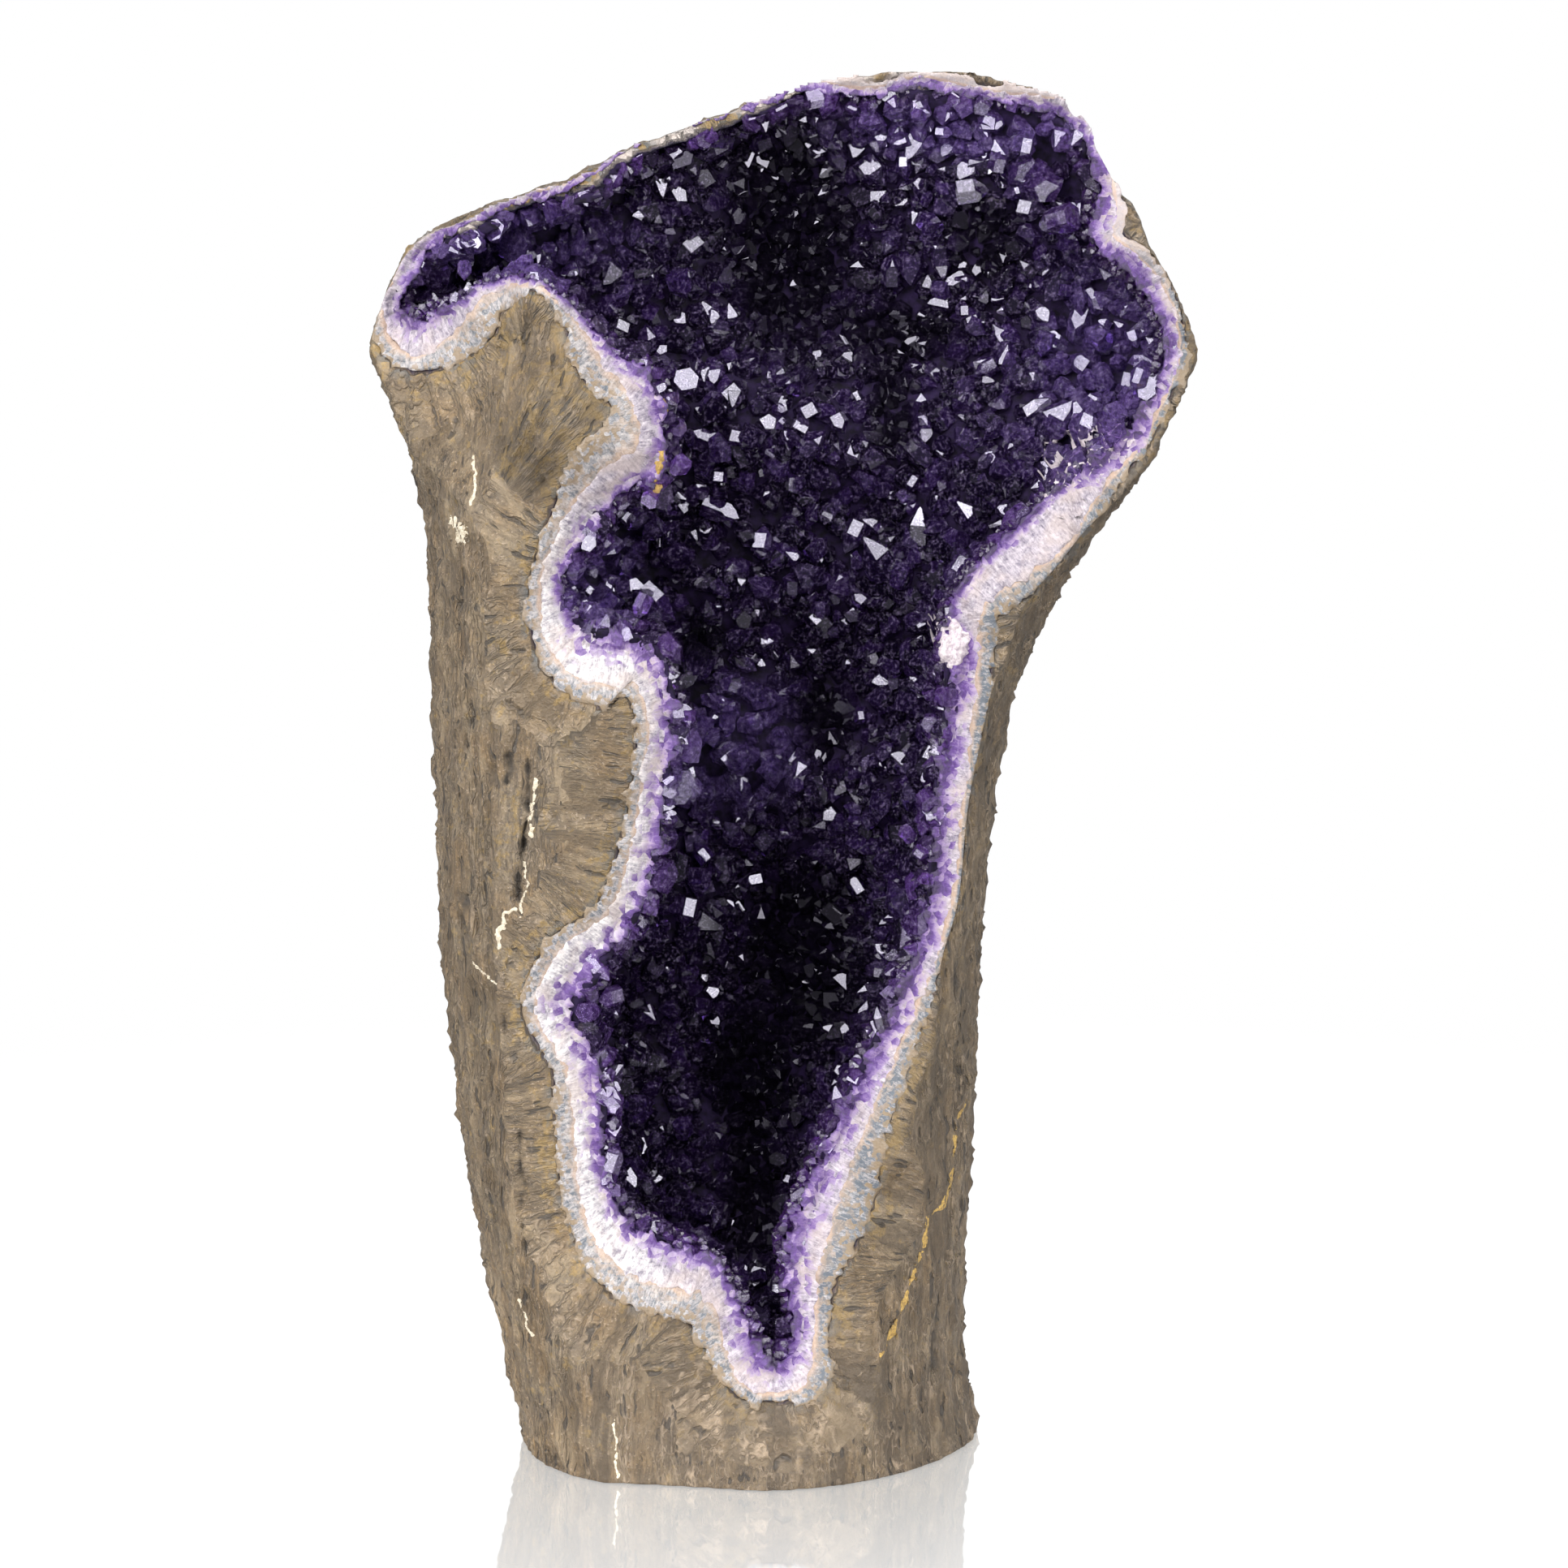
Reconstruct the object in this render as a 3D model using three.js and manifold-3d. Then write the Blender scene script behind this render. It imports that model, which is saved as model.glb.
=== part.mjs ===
// Amethyst cathedral geode: a tall basalt husk, open at the front, lined with grey chalcedony
// and with one crust of quartz whose crystals point into the hollow. It stands on its sawn base.
// Millimetres, +Z up, the mouth looks along -Y, the origin is the middle of the base.
import * as THREE from 'three';
import { mergeVertices } from 'three/addons/utils/BufferGeometryUtils.js';
import Module from 'manifold-3d';

const wasm = await Module();
wasm.setup();

// Driving sizes
const HEIGHT = 640;
const BED_GAP = 0.3;
const SKIN_POINTS = 36;
const SKIN_STEP = 24;
const LAYER_POINTS = 14;
const CRYSTALS_AROUND = 12;
const CRYSTAL_ROW = 17;
const CRYSTAL_HEIGHT = 14;
const CUT_STEP = 20;
const CUT_BEVEL = 11;
const CUT_BEVEL_WIDTH = 24;
const FAR_FRONT = -260;
const WELL_BACK = -8;
const SKIN_RELIEF = 6;
const LEFT_SQUARENESS = 2.6;
const RIGHT_SQUARENESS = 1.9;

// The basalt's outer skin, level by level: height, left edge, right edge, frontmost point,
// backmost point, and the depth at which the left and right edges lie.
const SKIN = [
  [0, -127, 96, -118, 110, 0],
  [40, -134, 89, -118, 111, 0],
  [100, -147, 90, -116, 112, 0],
  [160, -157, 94, -113, 113, 0],
  [240, -165, 96, -111, 113, 0],
  [320, -166, 104, -110, 113, 0],
  [360, -167, 113, -111, 113, 0],
  [400, -168, 130, -112, 113, 0],
  [430, -169, 150, -113, 113, 0],
  [460, -174, 173, -113, 113, 0],
  [490, -185, 188, -112, 113, 2],
  [515, -196, 196, -108, 113, 7],
  [540, -188, 186, -98, 112, 14],
  [560, -179, 175, -84, 110, 23],
  [575, -155, 169, -66, 106, 31],
  [590, -108, 161, -46, 98, 36],
  [605, -80, 153, -26, 88, 41],
  [620, -35, 143, -4, 76, 43],
  [632, -4, 130, 16, 64, 44],
  [HEIGHT, 40, 92, 34, 55, 45],
];

// The hollow between the crystals' roots, level by level: height, left, right, front, back,
// depth of the left and right edges, then the thickness of the white quartz and grey chalcedony.
const HOLLOW = [
  [58, -34, 14, -92, -20, -60, 12, 6],
  [80, -52, 20, -88, 15, -45, 12, 6],
  [110, -72, 30, -82, 45, -30, 13, 6],
  [150, -94, 42, -72, 62, -20, 14, 7],
  [200, -113, 58, -64, 74, -10, 14, 7],
  [300, -124, 72, -60, 78, 0, 14, 7],
  [400, -126, 94, -60, 78, 0, 13, 7],
  [440, -132, 120, -58, 80, 0, 12, 6],
  [480, -150, 156, -54, 83, 2, 8, 5],
  [515, -180, 181, -50, 85, 7, 5, 4],
  [540, -179, 174, -44, 84, 15, 5, 3],
  [560, -160, 163, -36, 80, 24, 5, 3],
  [574, -128, 157, -26, 75, 32, 5, 3],
  [590, -84, 149, -10, 70, 37, 4, 3],
  [605, -52, 140, 5, 61, 41, 4, 3],
  [617, -12, 128, 15, 54, 43, 4, 3],
  [626, 22, 106, 26, 49, 44, 4, 3],
];

// Lumps on the back wall of the hollow: place across, height, half-width, half-height, and how
// far the wall stands forward there (back where it is negative).
const LUMPS = [
  [0, 480, 60, 42, 30],
  [-85, 585, 45, 45, 10],
  [100, 470, 55, 60, 18],
  [-20, 405, 75, 45, 22],
  [25, 352, 30, 24, -8],
  [-22, 322, 45, 34, 20],
  [40, 290, 35, 30, 12],
  [0, 232, 34, 46, -8],
  [-60, 250, 40, 60, 14],
  [45, 175, 30, 45, 10],
];

// The mouth, clockwise from the left shoulder as seen from the front: across and up where the
// white quartz turns purple, then the widths across the cut face of the purple tips inwards and
// of the white quartz and the grey chalcedony outwards.
const MOUTH = [
  [-181, 531, 8, 5, 4], [-176, 547, 6, 4, 4], [-160, 567, 6, 4, 3], [-137, 577, 4, 3, 3],
  [-99, 590, 4, 2, 2], [-66, 610, 3, 2, 2], [-46, 616, 3, 2, 2], [-12, 627, 5, 2, 2],
  [7, 634, 5, 2, 2], [41, 631, 5, 2, 2], [63, 635, 5, 3, 2], [94, 629, 4, 3, 3],
  [130, 621, 4, 5, 4], [146, 602, 5, 4, 3], [150, 582, 8, 5, 4], [147, 563, 6, 7, 5],
  [161, 553, 8, 5, 4], [172, 538, 6, 6, 4], [181, 518, 6, 3, 3], [177, 503, 6, 4, 3],
  [164, 476, 8, 4, 3], [145, 460, 10, 8, 5], [126, 450, 4, 18, 6], [113, 437, 5, 20, 7],
  [88, 414, 4, 13, 10], [79, 397, 6, 12, 10], [84, 376, 13, 6, 7], [80, 350, 9, 8, 6],
  [75, 306, 9, 8, 4], [73, 272, 9, 7, 4], [67, 244, 7, 6, 4], [52, 206, 9, 6, 6],
  [31, 165, 9, 8, 10], [18, 132, 10, 9, 16], [8, 100, 12, 9, 11], [9, 70, 7, 6, 6],
  [5, 55, 8, 9, 8], [-4, 49, 7, 8, 4], [-12, 53, 9, 10, 6], [-19, 64, 9, 8, 8],
  [-27, 86, 7, 8, 14], [-35, 98, 7, 11, 15], [-44, 101, 8, 13, 12], [-68, 111, 9, 14, 12],
  [-80, 122, 6, 12, 7], [-87, 143, 7, 9, 8], [-89, 174, 10, 9, 8], [-93, 196, 11, 9, 6],
  [-104, 218, 13, 10, 6], [-93, 238, 13, 13, 7], [-79, 253, 9, 9, 6], [-70, 267, 9, 8, 6],
  [-62, 294, 8, 8, 6], [-61, 311, 8, 6, 5], [-55, 347, 9, 7, 6], [-58, 370, 9, 9, 7],
  [-66, 381, 11, 15, 12], [-91, 386, 12, 14, 8], [-102, 402, 6, 9, 6], [-103, 418, 5, 7, 5],
  [-90, 441, 9, 10, 8], [-75, 457, 5, 12, 14], [-60, 467, 8, 12, 20], [-57, 482, 5, 9, 19],
  [-62, 502, 8, 9, 9], [-82, 520, 4, 4, 12], [-98, 538, 3, 2, 3], [-114, 549, 3, 2, 3],
  [-136, 545, 3, 3, 13], [-148, 535, 6, 6, 14], [-170, 524, 9, 12, 8],
];

// The cut that opened the geode: across, up, and the depth of the dressed face there.
const CUT = [
  [-5, 0, -115], [-5, 22, -109], [-8, 40, -101], [-70, 60, -100], [50, 55, -90],
  [-100, 130, -84], [60, 130, -64], [20, 90, -86], [48, 150, -74], [72, 215, -60],
  [-125, 200, -84], [-115, 240, -84], [-100, 300, -86], [-128, 330, -84], [-70, 350, -90],
  [-122, 420, -84], [84, 280, -50], [88, 340, -47], [100, 405, -48], [120, 440, -40],
  [-60, 490, -88], [-100, 490, -94], [-108, 547, -74], [-140, 540, -52], [-160, 526, -34],
  [-183, 530, -12], [-165, 560, -6], [-120, 582, 8], [-60, 609, 22], [0, 630, 33],
  [70, 640, 41], [140, 618, 38], [155, 590, 26], [172, 550, 8], [186, 520, -4],
  [180, 495, -12], [160, 470, -24],
];

// Small helpers
const mix = (a, b, t) => a + (b - a) * t;

function random(seed) {
  const value = Math.sin(seed * 127.1 + 311.7) * 43758.5453;
  return value - Math.floor(value);
}

// One level of a table, between its rows.
function levelAt(table, height) {
  let upper = 1;
  while (upper < table.length - 1 && table[upper][0] < height) {
    upper += 1;
  }
  const low = table[upper - 1];
  const high = table[upper];
  const t = (height - low[0]) / (high[0] - low[0]);
  return low.map((value, column) => mix(value, high[column], t));
}

// A point of the rounded outline of one level, in the direction of an angle.
function outlinePoint(level, angle, grow) {
  const [, left, right, front, back, middle] = level;
  const c = Math.cos(angle);
  const s = Math.sin(angle);
  const power = 2 / (c < 0 ? LEFT_SQUARENESS : RIGHT_SQUARENESS);
  const halfWidth = (right - left) / 2 + grow;
  const halfDepth = (s < 0 ? middle - front : back - middle) + grow;
  return [
    (left + right) / 2 + halfWidth * Math.sign(c) * Math.abs(c) ** power,
    middle + halfDepth * Math.sign(s) * Math.abs(s) ** power,
  ];
}

// How far the dressed face lies back at a place, without the bevel along the mouth.
function faceDepth(x, z) {
  let sum = 0;
  let weights = 0;
  for (const [stationX, stationZ, depth] of CUT) {
    const weight = ((x - stationX) ** 2 + (z - stationZ) ** 2 + 60) ** -1.5;
    sum += weight * depth;
    weights += weight;
  }
  return sum / weights;
}

function distanceToMouth(x, z) {
  let nearest = Infinity;
  MOUTH.forEach(([ax, az], i) => {
    const [bx, bz] = MOUTH[(i + 1) % MOUTH.length];
    const along = ((x - ax) * (bx - ax) + (z - az) * (bz - az)) / ((bx - ax) ** 2 + (bz - az) ** 2);
    const t = THREE.MathUtils.clamp(along, 0, 1);
    nearest = Math.min(nearest, Math.hypot(x - mix(ax, bx, t), z - mix(az, bz, t)));
  });
  return nearest;
}

// The cut face, bevelled towards the mouth so that the bands face a little inwards.
function cutDepth(x, z) {
  const reach = Math.min(distanceToMouth(x, z) / CUT_BEVEL_WIDTH, 1);
  return faceDepth(x, z) + CUT_BEVEL * (1 - reach) ** 2;
}

function lumpAt(x, z) {
  return LUMPS.reduce((sum, [cx, cz, rx, rz, height]) => {
    const square = ((x - cx) / rx) ** 2 + ((z - cz) / rz) ** 2;
    return sum + height * Math.exp(-square);
  }, 0);
}

// A closed body from rings of points, all rings with the same count.
function loft(rings) {
  const count = rings[0].length;
  const positions = rings.flat(2);
  const faces = [];
  for (let j = 0; j < rings.length - 1; j += 1) {
    for (let i = 0; i < count; i += 1) {
      const a = j * count + i;
      const b = j * count + (i + 1) % count;
      const c = a + count;
      const d = b + count;
      const shifted = j % 2 === 1;
      faces.push(...(shifted ? [a, b, d, a, d, c] : [a, b, c, b, d, c]));
    }
  }
  [0, rings.length - 1].forEach((j, end) => {
    const centre = positions.length / 3;
    const ring = rings[j];
    const mean = [0, 1, 2].map((axis) => ring.reduce((sum, p) => sum + p[axis], 0) / count);
    positions.push(...mean);
    for (let i = 0; i < count; i += 1) {
      const a = j * count + i;
      const b = j * count + (i + 1) % count;
      faces.push(...(end === 0 ? [centre, b, a] : [centre, a, b]));
    }
  });
  const geometry = new THREE.BufferGeometry();
  geometry.setAttribute('position', new THREE.Float32BufferAttribute(positions, 3));
  geometry.setIndex(faces);
  return geometry;
}

function toSolid(geometry) {
  const bare = geometry.clone();
  bare.deleteAttribute('normal');
  bare.deleteAttribute('uv');
  const merged = mergeVertices(bare, 1e-4);
  return new wasm.Manifold(new wasm.Mesh({
    numProp: 3,
    vertProperties: new Float32Array(merged.attributes.position.array),
    triVerts: new Uint32Array(merged.index.array),
  }));
}

// The triangles of the largest connected shell: thin chips that the cuts leave loose are dropped.
function largestShell(triVerts, pointCount) {
  const parent = Array.from({ length: pointCount }, (_, i) => i);
  const rootOf = (point) => {
    let root = point;
    while (parent[root] !== root) {
      root = parent[root];
    }
    parent[point] = root;
    return root;
  };
  const triangles = [];
  for (let i = 0; i < triVerts.length; i += 3) {
    const corners = [triVerts[i], triVerts[i + 1], triVerts[i + 2]];
    triangles.push(corners);
    parent[rootOf(corners[1])] = rootOf(corners[0]);
    parent[rootOf(corners[2])] = rootOf(corners[0]);
  }
  const shells = Map.groupBy(triangles, (corners) => rootOf(corners[0]));
  return [...shells.values()].sort((a, b) => b.length - a.length)[0];
}

function toGeometry(solid) {
  const { vertProperties, triVerts } = solid.getMesh();
  const geometry = new THREE.BufferGeometry();
  geometry.setAttribute('position', new THREE.BufferAttribute(vertProperties, 3));
  geometry.setIndex(largestShell(triVerts, vertProperties.length / 3).flat());
  return geometry;
}

// The natural outside of the basalt: low lumps, upright ridges and pecked facets.
function basaltBody() {
  const rings = [];
  const levels = Math.round(HEIGHT / SKIN_STEP);
  for (let j = 0; j <= levels; j += 1) {
    const z = (HEIGHT * j) / levels;
    const level = levelAt(SKIN, z);
    const ring = [];
    for (let i = 0; i < SKIN_POINTS; i += 1) {
      const angle = ((i + (j % 2) / 2) / SKIN_POINTS) * 2 * Math.PI;
      const ridge = 0.6 * random(i * 7 + Math.floor(j / 4));
      const peck = 0.4 * random(i * 31 + j * 57 + 5);
      const calm = Math.min(1, j / 2, (levels - j) / 2);
      ring.push([...outlinePoint(level, angle, SKIN_RELIEF * (0.5 - ridge - peck) * calm), z]);
    }
    rings.push(ring);
  }
  return toSolid(loft(rings));
}

// The hollow grown outwards through the quartz (layers 1) or also the chalcedony (layers 2).
function hollowLayer(layers, shrink) {
  const bottom = HOLLOW[0][0];
  const top = HOLLOW.at(-1)[0];
  const rings = HOLLOW.map((level, j) => {
    const [height, , , , , , quartz, chalcedony] = level;
    const grow = quartz + (layers === 2 ? chalcedony : 0) - shrink;
    const share = (height - bottom) / (top - bottom);
    const z = height + mix(-0.6 * grow, grow, share);
    const ring = [];
    for (let i = 0; i < LAYER_POINTS; i += 1) {
      const angle = ((i + (j % 2) / 2) / LAYER_POINTS) * 2 * Math.PI;
      ring.push([...outlinePoint(level, angle, grow), z]);
    }
    return ring;
  });
  return toSolid(loft(rings));
}

// The hollow itself: every third point of a six-sided net is a crystal's tip, standing inwards,
// and the six points around it are the valleys that it shares with its neighbours.
function crystalHollow() {
  const rings = [];
  const count = CRYSTALS_AROUND * 3;
  const bottom = HOLLOW[0][0];
  const top = HOLLOW.at(-1)[0];
  const levels = Math.round((top - bottom) / CRYSTAL_ROW);
  for (let j = 0; j <= levels; j += 1) {
    const z = mix(bottom, top, j / levels);
    const level = levelAt(HOLLOW, z);
    const cell = ((level[2] - level[1]) * Math.PI) / count;
    const ring = [];
    for (let i = 0; i < count; i += 1) {
      const seed = i * 13 + j * 71;
      const isTip = (i - Math.floor(j / 2) - j + 300 * 3) % 3 === 0;
      const inner = j > 0 && j < levels;
      const lean = isTip && inner ? 0.5 : 0.12;
      const angle = ((i + (j % 2) / 2 + lean * (random(seed) - 0.5)) / count) * 2 * Math.PI;
      const height = Math.min(CRYSTAL_HEIGHT * mix(0.7, 1.25, random(seed + 3)), cell * 0.9);
      const [x, y] = outlinePoint(level, angle, isTip && inner ? -height : 0);
      const facesFront = THREE.MathUtils.smoothstep(y - level[5], 0, 30);
      const lift = inner ? lean * CRYSTAL_ROW * (random(seed + 9) - 0.5) : 0;
      ring.push([x, y - lumpAt(x, z) * facesFront, z + lift]);
    }
    rings.push(ring);
  }
  return toSolid(loft(rings));
}

// The mouth's outline moved outwards by a width that each of its points gives. A moved point
// that would lie nearer to another stretch of the mouth is left out.
function movedMouth(widthOf) {
  const moved = MOUTH.map((station, i) => {
    const [px, pz] = MOUTH.at(i - 1);
    const [nx, nz] = MOUTH[(i + 1) % MOUTH.length];
    const length = Math.hypot(nx - px, nz - pz);
    const width = widthOf(station);
    return [
      station[0] - (width * (nz - pz)) / length,
      station[1] + (width * (nx - px)) / length,
      Math.abs(width),
    ];
  });
  return moved.filter(([x, z, width]) => distanceToMouth(x, z) > width * 0.9);
}

// A straight well through the front wall with an outline of the mouth.
function mouthWell(widthOf) {
  const points = movedMouth(widthOf).map(([x, z]) => new THREE.Vector2(x, z));
  const depth = WELL_BACK - FAR_FRONT;
  const geometry = new THREE.ExtrudeGeometry(new THREE.Shape(points), { depth, bevelEnabled: false });
  geometry.rotateX(Math.PI / 2);
  geometry.translate(0, WELL_BACK, 0);
  return toSolid(geometry);
}

// All that lies in front of the dressed face.
function cutAway() {
  const [fromX, toX, fromZ, toZ] = [-230, 230, -40, 700];
  const columns = Math.round((toX - fromX) / CUT_STEP);
  const rows = Math.round((toZ - fromZ) / CUT_STEP);
  const geometry = new THREE.BoxGeometry(1, 1, 1, columns, 1, rows);
  const position = geometry.attributes.position;
  for (let i = 0; i < position.count; i += 1) {
    const x = mix(fromX, toX, position.getX(i) + 0.5);
    const z = mix(fromZ, toZ, position.getZ(i) + 0.5);
    const y = position.getY(i) > 0 ? cutDepth(x, z) : FAR_FRONT + 20;
    position.setXYZ(i, x, y, z);
  }
  return toSolid(geometry);
}

const body = basaltBody();
const front = cutAway();
const tipEdge = ([, , tips]) => -tips;
const quartzEdge = ([, , , quartz]) => quartz;
const chalcedonyEdge = ([, , , quartz, chalcedony]) => quartz + chalcedony;
const tight = (edge) => (station) => edge(station) - BED_GAP;

const hollow = crystalHollow().add(mouthWell(tipEdge));
const quartzOut = hollowLayer(1, BED_GAP).add(mouthWell(tight(quartzEdge)));
const quartzBed = hollowLayer(1, 0).add(mouthWell(quartzEdge));
const chalcedonyOut = hollowLayer(2, BED_GAP).add(mouthWell(tight(chalcedonyEdge)));
const chalcedonyBed = hollowLayer(2, 0).add(mouthWell(chalcedonyEdge));

const huskSolid = body.subtract(chalcedonyBed).subtract(front);
const bandSolid = body.intersect(chalcedonyOut).subtract(quartzBed).subtract(front);
const crustSolid = body.intersect(quartzOut).subtract(hollow).subtract(front);

function namedMesh(name, solid, material) {
  const mesh = new THREE.Mesh(toGeometry(solid), material);
  mesh.name = name;
  return mesh;
}

const basalt = new THREE.MeshStandardMaterial({ color: 0x857159, roughness: 0.9, metalness: 0 });
const chalcedony = new THREE.MeshStandardMaterial({ color: 0xa9b0b8, roughness: 0.5, metalness: 0 });
const amethyst = new THREE.MeshStandardMaterial({ color: 0x4b2a7d, roughness: 0.2, metalness: 0 });

const group = new THREE.Group();
group.add(namedMesh('basalt_husk', huskSolid, basalt));
group.add(namedMesh('chalcedony_band', bandSolid, chalcedony));
group.add(namedMesh('amethyst_crust', crustSolid, amethyst));

export default group;
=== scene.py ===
# %% [markdown]
# An amethyst cathedral geode
#
# This lesson dresses one natural stone: a tall husk of brown basalt, opened at the front, with a thin
# band of grey chalcedony and a thick crust of quartz that turns from white to violet towards the
# crystal points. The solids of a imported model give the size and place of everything. We grow the fine
# surface around them, in mesh code, and then give each mineral its own procedural finish.
#
# All sizes below are millimetres, because that is how a stone is measured. They turn into Blender's
# metres in one place only, where a mesh is made.

# %% Load the fixed frame
import itertools
import math

import bmesh
import bpy
import numpy as np
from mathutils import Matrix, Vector
from mathutils.bvhtree import BVHTree


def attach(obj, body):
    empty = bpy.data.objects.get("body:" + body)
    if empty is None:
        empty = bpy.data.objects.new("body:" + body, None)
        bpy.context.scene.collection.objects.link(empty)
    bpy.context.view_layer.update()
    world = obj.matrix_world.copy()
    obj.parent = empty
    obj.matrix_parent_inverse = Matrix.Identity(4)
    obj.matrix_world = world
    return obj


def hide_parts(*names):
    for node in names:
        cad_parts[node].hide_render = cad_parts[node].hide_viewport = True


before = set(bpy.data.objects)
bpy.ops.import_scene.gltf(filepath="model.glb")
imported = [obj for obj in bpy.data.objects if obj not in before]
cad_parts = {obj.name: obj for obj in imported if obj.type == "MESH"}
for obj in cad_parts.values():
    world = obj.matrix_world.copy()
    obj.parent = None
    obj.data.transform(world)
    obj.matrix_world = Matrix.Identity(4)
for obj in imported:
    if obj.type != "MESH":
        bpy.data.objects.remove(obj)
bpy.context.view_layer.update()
print("solids:", sorted(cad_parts))

# %% [markdown]
# Millimetres, colours and chance
#
# Three small helpers are used all through the lesson. A colour is written as the hex value that a
# colour picker shows, and Blender computes with linear light, so one function converts it. All chance
# comes from one seeded generator, so that the stone looks the same each time the file runs.

# %% Helpers for units, colour and chance
MM = 0.001
rng = np.random.default_rng(7)


def colour(hex_value):
    """Linear red, green, blue and alpha of an sRGB hex colour."""
    parts = [int(hex_value[i : i + 2], 16) / 255 for i in (1, 3, 5)]
    linear = [c / 12.92 if c <= 0.04045 else ((c + 0.055) / 1.055) ** 2.4 for c in parts]
    return (*linear, 1.0)


def smooth(low, high, value):
    """0 below low, 1 above high, and a soft step between them."""
    t = np.clip((value - low) / (high - low), 0, 1)
    return t * t * (3 - 2 * t)


print("mid grey in linear light:", round(colour("#808080")[0], 3))

# %% [markdown]
# The stone's form, level by level
#
# A geode grows as a long bubble in lava, so its body is close to a stack of rounded outlines. Sculpting
# it by hand would work, but a table of levels is easier to check against a picture: each row gives the
# left and right edge, which show as the silhouette, and the front and back. The rows are those of the
# solids that we dress. Between rows the values are blended softly.

# %% Tables of the outer skin and of the hollow
LEFT_SQUARENESS = 2.6
RIGHT_SQUARENESS = 1.9
BLEND_REACH = 9
ZONE_FADE = (0.55, 1.35)

# height, left, right, front, back, depth of the left and right edges
SKIN = [
    [0, -127, 96, -118, 110, 0],
    [40, -134, 89, -118, 111, 0],
    [100, -147, 90, -116, 112, 0],
    [160, -157, 94, -113, 113, 0],
    [240, -165, 96, -111, 113, 0],
    [320, -166, 104, -110, 113, 0],
    [360, -167, 113, -111, 113, 0],
    [400, -168, 130, -112, 113, 0],
    [430, -169, 150, -113, 113, 0],
    [460, -174, 173, -113, 113, 0],
    [490, -185, 188, -112, 113, 2],
    [515, -196, 196, -108, 113, 7],
    [540, -188, 186, -98, 112, 14],
    [560, -179, 175, -84, 110, 23],
    [575, -155, 169, -66, 106, 31],
    [590, -108, 161, -46, 98, 36],
    [605, -80, 153, -26, 88, 41],
    [620, -35, 143, -4, 76, 43],
    [632, -4, 130, 16, 64, 44],
    [640, 40, 92, 34, 55, 45],
]

# height, left, right, front, back, depth of the edges, thickness of the quartz and the chalcedony
HOLLOW = [
    [58, -34, 14, -92, -20, -60, 12, 6],
    [80, -52, 20, -88, 15, -45, 12, 6],
    [110, -72, 30, -82, 45, -30, 13, 6],
    [150, -94, 42, -72, 62, -20, 14, 7],
    [200, -113, 58, -64, 74, -10, 14, 7],
    [300, -124, 72, -60, 78, 0, 14, 7],
    [400, -126, 94, -60, 78, 0, 13, 7],
    [440, -132, 120, -58, 80, 0, 12, 6],
    [480, -150, 156, -54, 83, 2, 8, 5],
    [515, -180, 181, -50, 85, 7, 5, 4],
    [540, -179, 174, -44, 84, 15, 5, 3],
    [560, -160, 163, -36, 80, 24, 5, 3],
    [574, -128, 157, -26, 75, 32, 5, 3],
    [590, -84, 149, -10, 70, 37, 4, 3],
    [605, -52, 140, 5, 61, 41, 4, 3],
    [617, -12, 128, 15, 54, 43, 4, 3],
    [626, 22, 106, 26, 49, 44, 4, 3],
]

print("skin levels:", len(SKIN), "hollow levels:", len(HOLLOW))

# %% [markdown]
# The hollow's back wall isn't smooth. Lumps of older crystals stand forward, and between them are deep
# pockets where the amethyst looks nearly black, because little light finds its way out again; there
# the crystals are also painted nearly black, as painted shade. On a few walls the crystals are painted
# paler, partly their own lighter violet and partly painted light. Each of these is one row, with its
# place and size in the front view.

# %% Tables of lumps, pockets and pale walls
# Lumps and pockets of the back wall: across, up, half-width, half-height, height of the lump
LUMPS = [
    [0, 474, 60, 32, 36],
    [-85, 560, 48, 60, 26],
    [0, 560, 26, 60, -12],
    [95, 575, 42, 50, 14],
    [105, 470, 50, 60, 20],
    [-20, 405, 75, 45, 22],
    [25, 352, 30, 24, -10],
    [-22, 322, 45, 34, 24],
    [40, 290, 35, 30, 14],
    [0, 232, 34, 46, -10],
    [-60, 250, 40, 60, 18],
    [45, 175, 30, 45, 12],
]

# Pockets where the crystals lean less and are painted darkest, as painted shade: across, up, half-width,
# half-height
POCKETS = [
    [2, 560, 34, 62],
    [94, 560, 18, 20],
    [52, 516, 34, 16],
    [51, 484, 12, 28],
    [20, 333, 15, 24],
    [-40, 371, 12, 13],
    [8, 215, 32, 46],
    [-14, 160, 26, 40],
    [-14, 108, 15, 36],
]

# Walls where the crystals are painted paler, partly own colour and partly painted light: across, up,
# half-width, half-height
PALE_AND_LIT_WALLS = [
    [148, 505, 30, 42],
    [-125, 563, 52, 18],
    [85, 612, 60, 14],
    [-22, 318, 36, 34],
    [-88, 408, 20, 16],
    [144, 462, 24, 20],
]
print("lumps:", len(LUMPS), "pockets:", len(POCKETS), "pale walls:", len(PALE_AND_LIT_WALLS))

# %% [markdown]
# A table is read at any height by writing out each millimetre between its rows and averaging over a few
# neighbours, which rounds its corners off. The outline of a level is a squashed circle, and a power
# says how square it is. A lump or a zone is a soft spot that fades with distance from its middle.

# %% Read the tables at any place
def mound(x, z, cx, cz, rx, rz):
    """1 at one place of the front view, and a soft fall around it."""
    return np.exp(-(((x - cx) / rx) ** 2) - ((z - cz) / rz) ** 2)


def zone_at(zones, x, z):
    """1 in the middle of a table's zones and 0 away from them."""
    nearest = np.full(np.shape(x), 9.0)
    for cx, cz, rx, rz in zones:
        nearest = np.minimum(nearest, np.hypot((x - cx) / rx, (z - cz) / rz))
    return 1 - smooth(*ZONE_FADE, nearest)


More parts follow.
